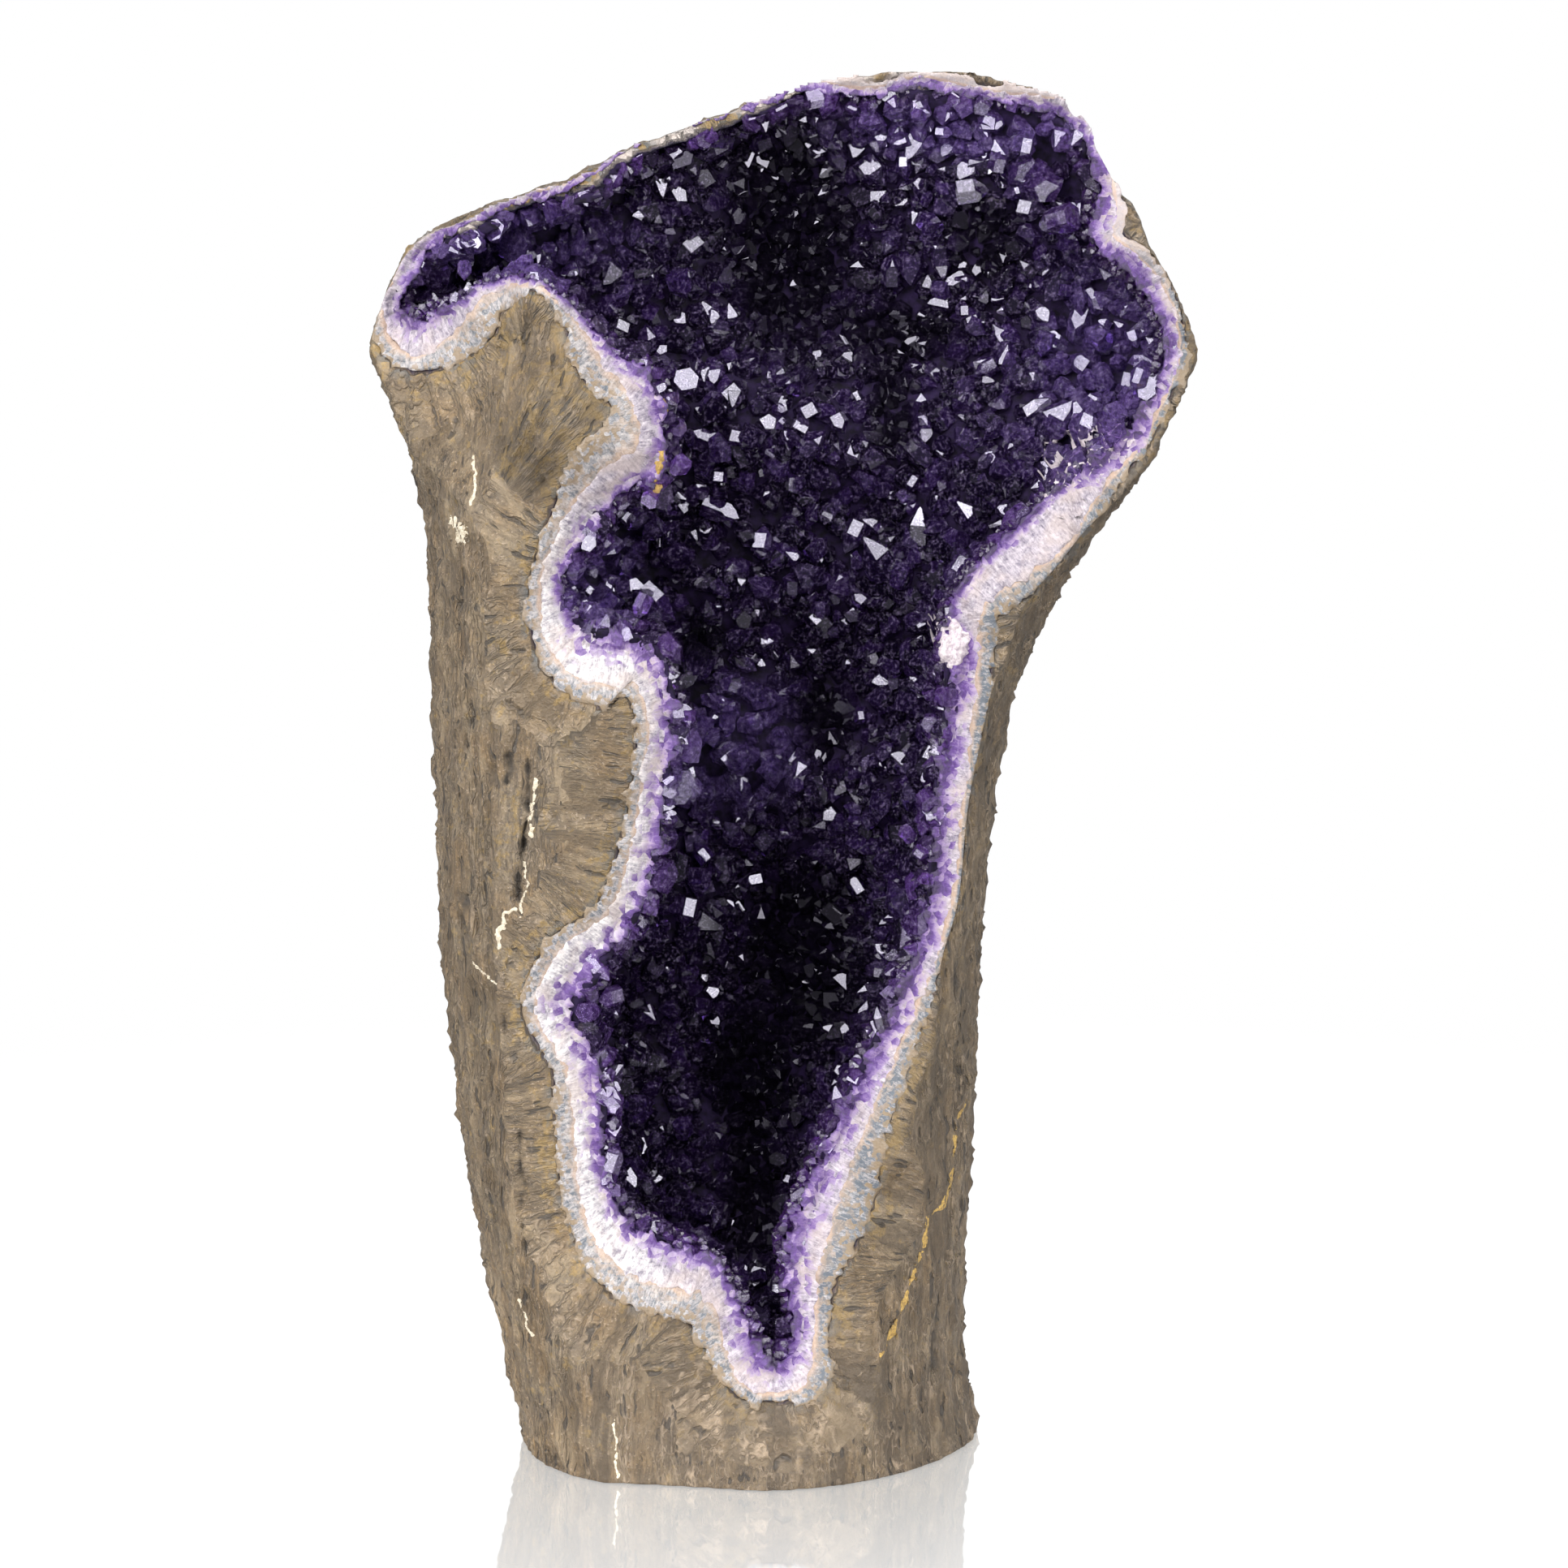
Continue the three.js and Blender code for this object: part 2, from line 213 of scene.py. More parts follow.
def soft_levels(rows):
    """The table at every millimetre of height, with its corners rounded off."""
    table = np.array(rows, float)
    heights = np.arange(table[0, 0], table[-1, 0] + 1)
    bell = np.hanning(2 * BLEND_REACH + 1)
    bell /= bell.sum()
    columns = []
    for k in range(1, table.shape[1]):
        values = np.interp(heights, table[:, 0], table[:, k])
        before = 2 * values[0] - values[BLEND_REACH:0:-1]
        after = 2 * values[-1] - values[-2 : -BLEND_REACH - 2 : -1]
        columns.append(np.convolve(np.concatenate([before, values, after]), bell, "valid"))
    return heights, columns


SKIN_LEVELS = soft_levels(SKIN)
HOLLOW_LEVELS = soft_levels(HOLLOW)


def levels_at(levels, z):
    """The columns of a table at any height."""
    return [np.interp(z, levels[0], column) for column in levels[1]]


def inside_outline(levels, x, y, z):
    """How many millimetres a point lies inside the rounded outline of its level."""
    left, right, front, back, middle = levels_at(levels, z)[:5]
    u = x - (left + right) / 2
    v = y - middle
    across = np.abs(u) / ((right - left) / 2)
    deep = np.abs(v) / np.where(v < 0, middle - front, back - middle)
    power = np.where(u < 0, LEFT_SQUARENESS, RIGHT_SQUARENESS)
    share = np.maximum((across**power + deep**power) ** (1 / power), 0.001)
    reach = np.hypot(u, v)
    return reach / share - reach


def lump_at(x, z):
    """How far the back wall of the hollow stands forward."""
    total = 0
    for *place, height in LUMPS:
        total = total + height * mound(x, z, *place)
    return total


left_edge, right_edge = levels_at(SKIN_LEVELS, 300)[:2]
print("width 300 mm up: %.0f mm" % (right_edge - left_edge))

# %% [markdown]
# The mouth
#
# The opening's edge is the most telling line of the whole stone. On the real geode a saw and a chisel
# cut through every layer here, so the layers show as bands: violet points, white quartz, grey
# chalcedony, brown basalt. We keep one outline, where white turns to violet, and the width of each band
# at each of its points. Everything else, such as which band a point lies in, is measured from that line.

# %% The outline of the mouth and the bands across it
# across, up, then the widths of the violet points, the white quartz and the grey chalcedony
MOUTH = [
    [-181, 531, 8, 5, 4], [-176, 547, 6, 4, 4], [-160, 567, 6, 4, 3], [-137, 577, 4, 3, 3],
    [-99, 590, 4, 2, 2], [-66, 610, 3, 2, 2], [-46, 616, 3, 2, 2], [-12, 627, 5, 2, 2],
    [7, 634, 5, 2, 2], [41, 631, 5, 2, 2], [63, 635, 5, 3, 2], [94, 629, 4, 3, 3],
    [130, 621, 4, 5, 4], [146, 602, 5, 4, 3], [150, 582, 8, 5, 4], [147, 563, 6, 7, 5],
    [161, 553, 8, 5, 4], [172, 538, 6, 6, 4], [181, 518, 6, 3, 3], [177, 503, 6, 4, 3],
    [164, 476, 8, 4, 3], [145, 460, 10, 8, 5], [126, 450, 4, 18, 6], [113, 437, 5, 20, 7],
    [88, 414, 4, 13, 10], [79, 397, 6, 12, 10], [84, 376, 13, 6, 7], [80, 350, 9, 8, 6],
    [75, 306, 9, 8, 4], [73, 272, 9, 7, 4], [67, 244, 7, 6, 4], [52, 206, 9, 6, 6],
    [31, 165, 9, 8, 10], [18, 132, 10, 9, 16], [8, 100, 12, 9, 11], [9, 70, 7, 6, 6],
    [5, 55, 8, 9, 8], [-4, 49, 7, 8, 4], [-12, 53, 9, 10, 6], [-19, 64, 9, 8, 8],
    [-27, 86, 7, 8, 14], [-35, 98, 7, 11, 15], [-44, 101, 8, 13, 12], [-68, 111, 9, 14, 12],
    [-80, 122, 6, 12, 7], [-87, 143, 7, 9, 8], [-89, 174, 10, 9, 8], [-93, 196, 11, 9, 6],
    [-104, 218, 13, 10, 6], [-93, 238, 13, 13, 7], [-79, 253, 9, 9, 6], [-70, 267, 9, 8, 6],
    [-62, 294, 8, 8, 6], [-61, 311, 8, 6, 5], [-55, 347, 9, 7, 6], [-58, 370, 9, 9, 7],
    [-66, 381, 11, 15, 12], [-91, 386, 12, 14, 8], [-102, 402, 6, 9, 6], [-103, 418, 5, 7, 5],
    [-90, 441, 9, 10, 8], [-75, 457, 5, 12, 14], [-60, 467, 8, 12, 20], [-57, 482, 5, 9, 19],
    [-62, 502, 8, 9, 9], [-82, 520, 4, 4, 12], [-98, 538, 3, 2, 3], [-114, 549, 3, 2, 3],
    [-136, 545, 3, 3, 13], [-148, 535, 6, 6, 14], [-170, 524, 9, 12, 8],
]
CURVE_STEPS = 5
THINNEST_BAND = 1.5


def closed_curve(points, steps):
    """A smooth closed line through all the points (a Catmull-Rom curve), with their other columns."""
    p = np.array(points, float)
    before, after, later = np.roll(p, 1, 0), np.roll(p, -1, 0), np.roll(p, -2, 0)
    rows = []
    for t in np.arange(steps) / steps:
        bend = (2 * before - 5 * p + 4 * after - later) * t**2
        twist = (3 * p - before - 3 * after + later) * t**3
        rows.append(0.5 * (2 * p + (after - before) * t + bend + twist))
    return np.stack(rows, 1).reshape(-1, p.shape[1])


EDGE = closed_curve(MOUTH, CURVE_STEPS)
EDGE[:, 2:] = np.maximum(EDGE[:, 2:], THINNEST_BAND)
edge_steps = np.diff(EDGE[:, :2], axis=0, append=EDGE[:1, :2])
EDGE_RUN = np.concatenate([[0], np.cumsum(np.hypot(*edge_steps.T))])

print("edge of the mouth: %d points, %.0f mm long" % (len(EDGE), EDGE_RUN[-1]))

# %% Measure from the edge of the mouth
def measure_mouth(x, z):
    """For points seen from the front: distance outside the edge (negative in the mouth), the place
    along the edge, and the widths of the three bands there."""
    shape = np.shape(x)
    px, pz = np.ravel(x), np.ravel(z)
    best = np.full(px.shape, 1e9)
    nearest = np.zeros(px.shape, int)
    share = np.zeros(px.shape)
    crossings = np.zeros(px.shape, int)
    for i in range(len(EDGE)):
        (ax, az), (bx, bz) = EDGE[i, :2], EDGE[(i + 1) % len(EDGE), :2]
        dx, dz = bx - ax, bz - az
        t = np.clip(((px - ax) * dx + (pz - az) * dz) / (dx * dx + dz * dz), 0, 1)
        gap = (px - ax - t * dx) ** 2 + (pz - az - t * dz) ** 2
        nearer = gap < best
        best[nearer], nearest[nearer], share[nearer] = gap[nearer], i, t[nearer]
        if az != bz:
            spans = (az > pz) != (bz > pz)
            crossings += spans & (px < ax + (pz - az) / dz * dx)
    distance = np.sqrt(best) * np.where(crossings % 2 == 1, -1, 1)
    following = (nearest + 1) % len(EDGE)
    widths = [EDGE[nearest, k] * (1 - share) + EDGE[following, k] * share for k in (2, 3, 4)]
    run = EDGE_RUN[nearest] + share * np.diff(EDGE_RUN)[nearest]
    return [np.reshape(a, shape) for a in (distance, run, *widths)]


print("the middle of the mouth lies %.0f mm inside its edge" % -measure_mouth(0, 300)[0])

# %% [markdown]
# The dressed face
#
# Around the mouth the maker ground the basalt back to a gently bent face. It is a height field: for
# each place across and up it has one depth. A few listed stations hold the depths, and each point
# takes a mean of them that favours the nearest. Near the bands the face drops into a bevel, because the
# chisel broke the brittle quartz a little deeper.

# %% Depth of the dressed face
# across, up, depth of the face there
CUT = [
    [-5, 0, -115], [-5, 22, -109], [-8, 40, -101], [-70, 60, -100], [50, 55, -90],
    [-100, 130, -84], [60, 130, -64], [20, 90, -86], [48, 150, -74], [72, 215, -60],
    [-125, 200, -84], [-115, 240, -84], [-100, 300, -86], [-128, 330, -84], [-70, 350, -90],
    [-122, 420, -84], [84, 280, -50], [88, 340, -47], [100, 405, -48], [120, 440, -40],
    [-60, 490, -88], [-100, 490, -94], [-108, 547, -74], [-140, 540, -52], [-160, 526, -34],
    [-183, 530, -12], [-165, 560, -6], [-120, 582, 8], [-60, 609, 22], [0, 630, 33],
    [70, 640, 41], [140, 618, 38], [155, 590, 26], [172, 550, 8], [186, 520, -4],
    [180, 495, -12], [160, 470, -24],
]
BEVEL_DEPTH = 11
BEVEL_WIDTH = 24
STATION_SOFTNESS = 60


def face_depth(x, z, edge_distance):
    """Depth of the dressed face, bevelled along the mouth."""
    total = 0
    weights = 0
    for station_x, station_z, depth in CUT:
        weight = ((x - station_x) ** 2 + (z - station_z) ** 2 + STATION_SOFTNESS) ** -1.5
        total = total + weight * depth
        weights = weights + weight
    reach = np.clip(np.abs(edge_distance) / BEVEL_WIDTH, 0, 1)
    return total / weights + BEVEL_DEPTH * (1 - reach) ** 2


print("depth of the face at the left lip: %.0f mm" % face_depth(-100.0, 300.0, 40.0))

# %% [markdown]
# Two kinds of roughness
#
# Broken stone has no straight line in it. Two patterns give nearly all of its relief. Gradient noise is
# a soft random swell, good for lumps and wavy flutes. Cell noise measures the distance to the nearest
# of many scattered seeds, good for pecks, scales and pits. Blender has both as texture nodes; here they
# are also functions on points, because relief that shows in the outline has to be in the mesh.

# %% Gradient noise on points
SWELL_GAIN = 1.6


def lattice_hash(ix, iy, iz, seed):
    """A random number from 0 to 1 for each whole-numbered lattice point. The large odd factors and
    the shifts only scramble the bits."""
    h = (ix * 374761393 + iy * 668265263 + iz * 1440670441 + seed * 362437) & 0xFFFFFFFF
    h = ((h ^ (h >> 13)) * 1274126177) & 0xFFFFFFFF
    h = ((h ^ (h >> 16)) * 2246822519) & 0xFFFFFFFF
    return ((h ^ (h >> 15)) & 0xFFFFFF) / 0xFFFFFF


def swell(points, size, seed=0):
    """Gradient noise from about -1 to 1. size is the width of a swell along x, y and z."""
    q = points / np.asarray(size, float)
    base = np.floor(q).astype(np.int64)
    f = q - base
    blend = f * f * f * (f * (f * 6 - 15) + 10)
    total = np.zeros(len(q))
    for corner in range(8):
        offset = np.array([corner & 1, corner >> 1 & 1, corner >> 2 & 1])
        lattice = (base + offset).T
        slope = np.stack([lattice_hash(*lattice, seed + 17 * k) * 2 - 1 for k in (1, 2, 3)], 1)
        weight = np.prod(np.where(offset, blend, 1 - blend), 1)
        total += weight * np.sum(slope * (f - offset), 1)
    return total * SWELL_GAIN


test_points = rng.uniform(-50, 50, (2000, 3))
print("swell spread: %.2f" % swell(test_points, [10, 10, 10]).std())

# %% Cell noise on points
def cells(points, size, seed=0):
    """Cell noise: distance to the nearest seed, distance to the second, the way from the nearest
    seed, and a random number for its cell."""
    q = points / np.asarray(size, float)
    base = np.floor(q).astype(np.int64)
    first = np.full(len(q), 9.0)
    second = np.full(len(q), 9.0)
    way = np.zeros_like(q)
    name = np.zeros(len(q))
    for corner in range(27):
        offset = np.array([corner % 3, corner // 3 % 3, corner // 9]) - 1
        lattice = (base + offset).T
        seeds = (base + offset) + np.stack([lattice_hash(*lattice, seed + 31 * k) for k in (1, 2, 3)], 1)
        gap = np.linalg.norm(seeds - q, axis=1)
        nearer = gap < first
        second = np.where(nearer, first, np.minimum(second, gap))
        way[nearer] = (q - seeds)[nearer]
        name = np.where(nearer, lattice_hash(*lattice, seed + 501), name)
        first = np.minimum(first, gap)
    return first, second, way, name


print("usual distance to a seed: %.2f of a cell" % cells(test_points, [10, 10, 10])[0].mean())

# %% [markdown]
# From a formula to a mesh
#
# We now have formulas that say how far a point lies inside the stone, the hollow or the cut. Booleans
# on meshes could combine them, but thin bands and rough rims make booleans fragile. Instead we sample
# the formulas on a grid and pull a skin over the zero level. The method is called surface nets: each
# grid cell that the surface passes through gets one corner point, the mean of where the surface crosses
# the cell's edges, and each crossed grid edge gets one four-sided face.

# %% Grid and surface nets
STEP = 2.4
GRID_LOW = np.array([-204.0, -126.0, -6.0])
GRID_HIGH = np.array([204.0, 126.0, 650.0])
GRID_AXES = [np.arange(low, high, STEP) for low, high in zip(GRID_LOW, GRID_HIGH)]
GX, GY, GZ = np.meshgrid(*[a.astype(np.float32) for a in GRID_AXES], indexing="ij", sparse=True)


def surface_net(field):
    """Points (mm) and four-sided faces of the surface where the field is zero, facing outwards."""
    inside = field > 0
    shape = np.array(field.shape)
    cell_ids, places, quads = [], [], []
    for axis in range(3):
        after = [slice(None)] * 3
        before = [slice(None)] * 3
        after[axis], before[axis] = slice(1, None), slice(None, -1)
        crossed = np.argwhere(inside[tuple(before)] != inside[tuple(after)])
        f0 = field[tuple(crossed.T)]
        step = np.eye(3, dtype=int)[axis]
        f1 = field[tuple((crossed + step).T)]
        place = crossed.astype(float)
        place[:, axis] += f0 / (f0 - f1)
        u, v = np.eye(3, dtype=int)[(axis + 1) % 3], np.eye(3, dtype=int)[(axis + 2) % 3]
        corners = [crossed - u - v, crossed - v, crossed, crossed - u]
        ids = [np.ravel_multi_index(tuple(c.T), tuple(shape)) for c in corners]
        cell_ids += ids
        places += [place] * 4
        quad = np.stack(ids, 1)
        quad[f0 <= 0] = quad[f0 <= 0][:, ::-1]
        quads.append(quad)
    used, index = np.unique(np.concatenate(cell_ids), return_inverse=True)
    stacked = np.concatenate(places)
    count = np.bincount(index)
    points = np.stack([np.bincount(index, stacked[:, k]) / count for k in range(3)], 1)
    faces = np.searchsorted(used, np.concatenate(quads))
    return GRID_LOW + points * STEP, faces


print("grid of", " x ".join(str(len(a)) for a in GRID_AXES), "points")

# %% [markdown]
# The layers as formulas
#
# The skin, the dressed face and the hollow are each sampled once. The hollow and the well of the mouth
# melt into each other with a soft union, because crystals never grow round a sharp corner. Growing that
# union outwards by a band's thickness gives the next layer, as the real layers grew on each other. The
# broken top edge of the skin also dips by a few millimetres between its bumps.

# %% Sample skin, cut and layers
SKIN_INSET = 3.2
STONE_TOP = 640
MELT = 8.0
WELL_BACK = -8.0
HOLLOW_FOOT = 58
HOLLOW_TOP = 630
TOP_DIP = 5.5
DEEPEST_DIP = 4.2
TOP_EDGE_START = (540, 600)
TOP_BUMP = [11, 1, 60]
SMALL_TOP_BUMP = [5, 1, 60]
NEAR_SURFACE = 40
LEAST_SLOPE = 0.6


def soft_union(a, b, melt):
    """The larger of two fields, with the corner between them filled."""
    h = np.maximum(melt - np.abs(a - b), 0) / melt
    return np.maximum(a, b) + h * h * melt / 4


def dip_at(x, z):
    """How far the broken top edge dips between its bumps."""
    points = np.stack([np.ravel(x), 0 * np.ravel(x), np.ravel(z)], 1)
    bumps = swell(points, TOP_BUMP, 14) + 0.4 * swell(points, SMALL_TOP_BUMP, 15)
    dip = np.clip(TOP_DIP * (0.5 + bumps), 0, DEEPEST_DIP)
    return np.reshape(dip, np.shape(x)) * smooth(*TOP_EDGE_START, z)


def edge_fields():
    """The mouth's measures and the face's depth on the grid's front view."""
    x, z = np.meshgrid(GRID_AXES[0], GRID_AXES[2], indexing="ij")
    distance, _, tips, quartz, chalcedony = measure_mouth(x, z)
    depth = face_depth(x, z, distance)
    measures = (distance, tips, quartz, chalcedony, depth, dip_at(x, z))
    return [a[:, None, :].astype(np.float32) for a in measures]


EDGE_DISTANCE, TIPS, QUARTZ, CHALCEDONY, FACE, DIP = edge_fields()
EDGE_SHEET = np.repeat(EDGE_DISTANCE, 2, 1)
sawn_flat = np.minimum(GZ, STONE_TOP - GZ) + SKIN_INSET
skin_field = np.minimum(inside_outline(SKIN_LEVELS, GX, GY, GZ) - DIP, sawn_flat)
behind_face = GY - FACE

middle = levels_at(HOLLOW_LEVELS, GZ)[4]
stand_forward = lump_at(GX, GZ) * smooth(0, 30, GY - middle)
hollow_field = inside_outline(HOLLOW_LEVELS, GX, GY + stand_forward, GZ)
hollow_field = np.minimum(hollow_field, np.minimum(GZ - HOLLOW_FOOT, HOLLOW_TOP - GZ))
mouth_well = np.minimum(-TIPS - EDGE_DISTANCE, WELL_BACK - GY)
print("the back wall stands forward by up to %.0f mm" % stand_forward.max())

# %% Make the fields count millimetres
def true_distance(field):
    """A field rescaled near its zero level, so that it counts millimetres at right angles to it."""
    slope = np.sqrt(sum(np.gradient(field, STEP, axis=k) ** 2 for k in range(3)))
    rescaled = field / np.maximum(slope, LEAST_SLOPE)
    return np.where(np.abs(field) < NEAR_SURFACE, rescaled, field).astype(np.float32)


hollow = true_distance(soft_union(hollow_field, mouth_well, MELT))
skin_near = true_distance(skin_field)
print("deepest point of the hollow: %.0f mm from its wall" % float(hollow.max()))

# %% [markdown]
# From arrays to Blender meshes
#
# Everything below ends as plain arrays of points and faces, so one function turns them into a mesh
# object. It also stores numbers per point, called attributes, which the materials read later: how far
# a point is from the mouth, or how violet it should be.

# %% Make mesh objects
def make_piece(name, points, faces, attributes=None, shade_smooth=True):
    """A mesh object from points in millimetres and faces, with float attributes on its points."""
    mesh = bpy.data.meshes.new(name)
    if isinstance(faces, np.ndarray):
        width = faces.shape[1]
        mesh.vertices.add(len(points))
        mesh.vertices.foreach_set("co", (np.asarray(points) * MM).astype(np.float32).ravel())
        mesh.loops.add(faces.size)
        mesh.loops.foreach_set("vertex_index", faces.astype(np.int32).ravel())
        mesh.polygons.add(len(faces))
        mesh.polygons.foreach_set("loop_start", np.arange(0, faces.size, width, dtype=np.int32))
        mesh.update(calc_edges=True)
    else:
        mesh.from_pydata((np.asarray(points) * MM).tolist(), [], faces)
    for key, values in (attributes or {}).items():
        layer_data = mesh.attributes.new(key, "FLOAT", "POINT")
        layer_data.data.foreach_set("value", np.asarray(values, np.float32))
    mesh.polygons.foreach_set("use_smooth", np.full(len(mesh.polygons), shade_smooth))
    mesh.validate()
    piece = bpy.data.objects.new(name, mesh)
    bpy.context.scene.collection.objects.link(piece)
    return piece


def count_triangles(piece):
    """How many triangles the piece has once its modifiers are applied."""
    evaluated = piece.evaluated_get(bpy.context.evaluated_depsgraph_get())
    mesh = evaluated.to_mesh()
    mesh.calc_loop_triangles()
    count = len(mesh.loop_triangles)
    evaluated.to_mesh_clear()
    return count


print("a point at 1000 mm goes into a mesh as", 1000 * MM, "m")

# %% Sample fields and find normals
def sample(field, points):
    """A sampled field's value at any points, blended between grid points."""
    q = (points - GRID_LOW) / STEP
    top = np.array(field.shape) - 1.001
    q = np.clip(q, 0, top)
    base = q.astype(int)
    f = q - base
    total = 0
    for corner in range(8):
        offset = np.array([corner & 1, corner >> 1 & 1, corner >> 2 & 1])
        weight = np.prod(np.where(offset, f, 1 - f), 1)
        at = np.minimum(base + offset, np.array(field.shape) - 1)
        total = total + weight * field[tuple(at.T)]
    return total


def point_normals(points, faces):
    """Unit normals at the points, the mean of the faces around them."""
    a, b, c, d = (points[faces[:, k]] for k in range(4))
    across = np.cross(c - a, d - b)
    normal = np.zeros_like(points)
    for k in range(4):
        for axis in range(3):
            normal[:, axis] += np.bincount(faces[:, k], across[:, axis], len(points))
    return normal / np.maximum(np.linalg.norm(normal, axis=1, keepdims=True), 1e-9)


depth_inside = sample(hollow, np.array([[0.0, 0.0, 300.0]]))[0]
print("a point in the middle is %.0f mm inside the hollow" % depth_inside)

# %% [markdown]
# The basalt husk
#
# The husk is weathered basalt. Its outside was pecked all over with a pointed chisel, in long upright
# strokes, and the face around the mouth was ground with strokes that run away from the opening. It could
# be sculpted, or left smooth and faked with bump. We move real points instead, because the pecks show in
# the outline. The cavity behind the crust is never seen, so it is later thinned to few faces.

# %% The husk before it is pecked
ROCK_UNDER_BAND = 2.5
ROCK_STEP_DOWN = 1.2
THINNEST_WALL = 3.4
CRUST_THICKNESS = 8.0
OPENING_DEPTH = 16
OPENING_WALL = 3.3
FULL_FACE_DEPTH = 6
CAVITY_FLARE = 1.5

band_edge = QUARTZ + CHALCEDONY
under_band = band_edge - ROCK_UNDER_BAND - EDGE_DISTANCE
cavity = np.minimum(hollow + CRUST_THICKNESS, skin_near - SKIN_INSET - THINNEST_WALL)
cavity = np.minimum(cavity, under_band + CAVITY_FLARE * np.maximum(behind_face - FULL_FACE_DEPTH, 0))
opening = np.minimum(under_band, OPENING_DEPTH - behind_face)
cavity = np.maximum(cavity, np.minimum(opening, skin_near - SKIN_INSET - OPENING_WALL))
sunk = ROCK_STEP_DOWN * (1 - smooth(-0.6, 0.6, EDGE_DISTANCE - band_edge))
rock_field = np.minimum(skin_field - SKIN_INSET, GY - (FACE + sunk))
rock_field = np.minimum(rock_field, -cavity)
rock_points, rock_faces = surface_net(rock_field)
in_cavity = sample(cavity, rock_points) > -1.5
skin_depth = sample(skin_field, rock_points) - SKIN_INSET
face_gap = sample(behind_face, rock_points)
dressed = 1 - smooth(0.5, 4, face_gap - np.maximum(-skin_depth, 0))
print("husk: %d points, %d faces" % (len(rock_points), len(rock_faces)))

# %% [markdown]
# Two cracks run down the left side, and a few elongated pits are deep enough to look black. They are
# given as points on the front view. A groove is then sunk along each line.

# %% Cracks and deep pits of the left side
# Each groove: its width, its depth, and its points across and up
GROOVES = [
    (3.0, 5.0, [(-117, 333), (-116, 322), (-117, 311), (-118, 298), (-120, 285), (-121, 268)]),
    (2.4, 3.5, [(-121, 161), (-121, 142), (-120, 123), (-121, 104)]),
    (3.2, 4.0, [(-144, 357), (-146, 338)]),
    (4.2, 4.5, [(-125, 336), (-126, 324)]),
    (4.0, 3.5, [(-132, 331), (-131, 321)]),
    (5.0, 3.5, [(-149, 268), (-148, 252)]),
    (3.4, 3.5, [(-163, 425), (-162, 412)]),
    (3.4, 3.5, [(-149, 404), (-150, 392)]),
    (3.0, 3.0, [(-136, 190), (-137, 176)]),
    (3.0, 3.0, [(-128, 218), (-127, 205)]),
    (3.6, 3.5, [(82, 232), (81, 216)]),
    (3.0, 3.0, [(72, 60), (70, 44)]),
]


def distance_to_path(x, z, path):
    """Distance in the front view to a line through some points."""
    nearest = np.full(np.shape(x), 1e9)
    for (ax, az), (bx, bz) in zip(path[:-1], path[1:]):
        dx, dz = bx - ax, bz - az
        t = np.clip(((x - ax) * dx + (z - az) * dz) / (dx * dx + dz * dz), 0, 1)
        nearest = np.minimum(nearest, np.hypot(x - ax - t * dx, z - az - t * dz))
    return nearest


def groove_depth(points, normals):
    """How deep the cracks and pits are at each point of the husk."""
    depth = np.zeros(len(points))
    wobble = 2.2 * swell(points, [6, 6, 12], 71)
    for width, deepest, path in GROOVES:
        distance = distance_to_path(points[:, 0] + wobble, points[:, 2], path)
        depth = np.maximum(depth, deepest * (1 - smooth(0, width * 0.7, distance)))
    return depth * (0.8 + swell(points, [4, 4, 8], 72)) * (normals[:, 1] < -0.15)


print("grooves:", len(GROOVES))

# %% [markdown]
# The pecks are long cells, about 7 mm wide and 19 mm tall, each scooped and tipped like a scale. The
# flutes of the dressed face follow the distance run along the mouth, so that they always stand at
# right angles to it, as chisel strokes do. In the round lobe on the left they meet like a fan, and
# below the mouth they are longest and deepest.

# %% Relief of the pecked outside
PECK_SIZE = [7.5, 7.5, 19]
PECK_DEPTH = 2.4
PECK_BEND = [30, 30, 55]
BROAD_LUMP = [46, 46, 90]
FINE_GRAIN = [3.4, 3.4, 9]
FLUTE_WIDTH = 5.5
FLUTE_LENGTH = 70
FLUTE_DEPTH = 1.1
FOOT_FLUTE_DEPTH = 2.6
FAN_FLUTE_DEPTH = 4.2
STRIP_ENDS = (24, 44)
STRIP_LONGER_AT_FOOT = 45
CHIP_SIZE = [11, 11, 11]
FACE_GRAIN = [2.6, 2.6, 2.6]
FAN_CENTRE = (-137, 441)
FAN_REACH = 70

# Places where the relief changes: across, up, half-width, half-height
LOBE = (-98, 490, 44, 48)
FOOT = (15, 75, 75, 60)


def peck_height(points):
    """Relief of the pecked outside, in millimetres."""
    bend = [swell(points, PECK_BEND, seed) for seed in (11, 12, 13)]
    warped = points + 6 * np.stack([bend[0], bend[1], 0.7 * bend[2]], 1)
    first, second, way, name = cells(warped, PECK_SIZE, 21)
    scoop = np.minimum(first / 0.8, 1) ** 2 - 1
    border = 1 - smooth(0, 0.22, second - first)
    scale = way[:, 2] * (name - 0.1)
    broad = swell(points, BROAD_LUMP, 31)
    fine = swell(points, FINE_GRAIN, 41)
    return PECK_DEPTH * scoop + 0.6 * border + 2.4 * scale + 1.6 * broad + 0.9 * fine


print("a peck is %.1f mm wide and %.1f mm tall" % (PECK_SIZE[0], PECK_SIZE[2]))

# %% Relief of the dressed face
def fan_place(points):
    """Place across and along strokes that spread like a fan from one point of the front view."""
    u, v = points[:, 0] - FAN_CENTRE[0], points[:, 2] - FAN_CENTRE[1]
    return np.arctan2(u, v) * FAN_REACH, np.hypot(u, v)


def in_lobe(points):
    """1 on the round lobe where the strokes fan out, 0 elsewhere."""
    return smooth(0.3, 0.6, mound(points[:, 0], points[:, 2], *LOBE))


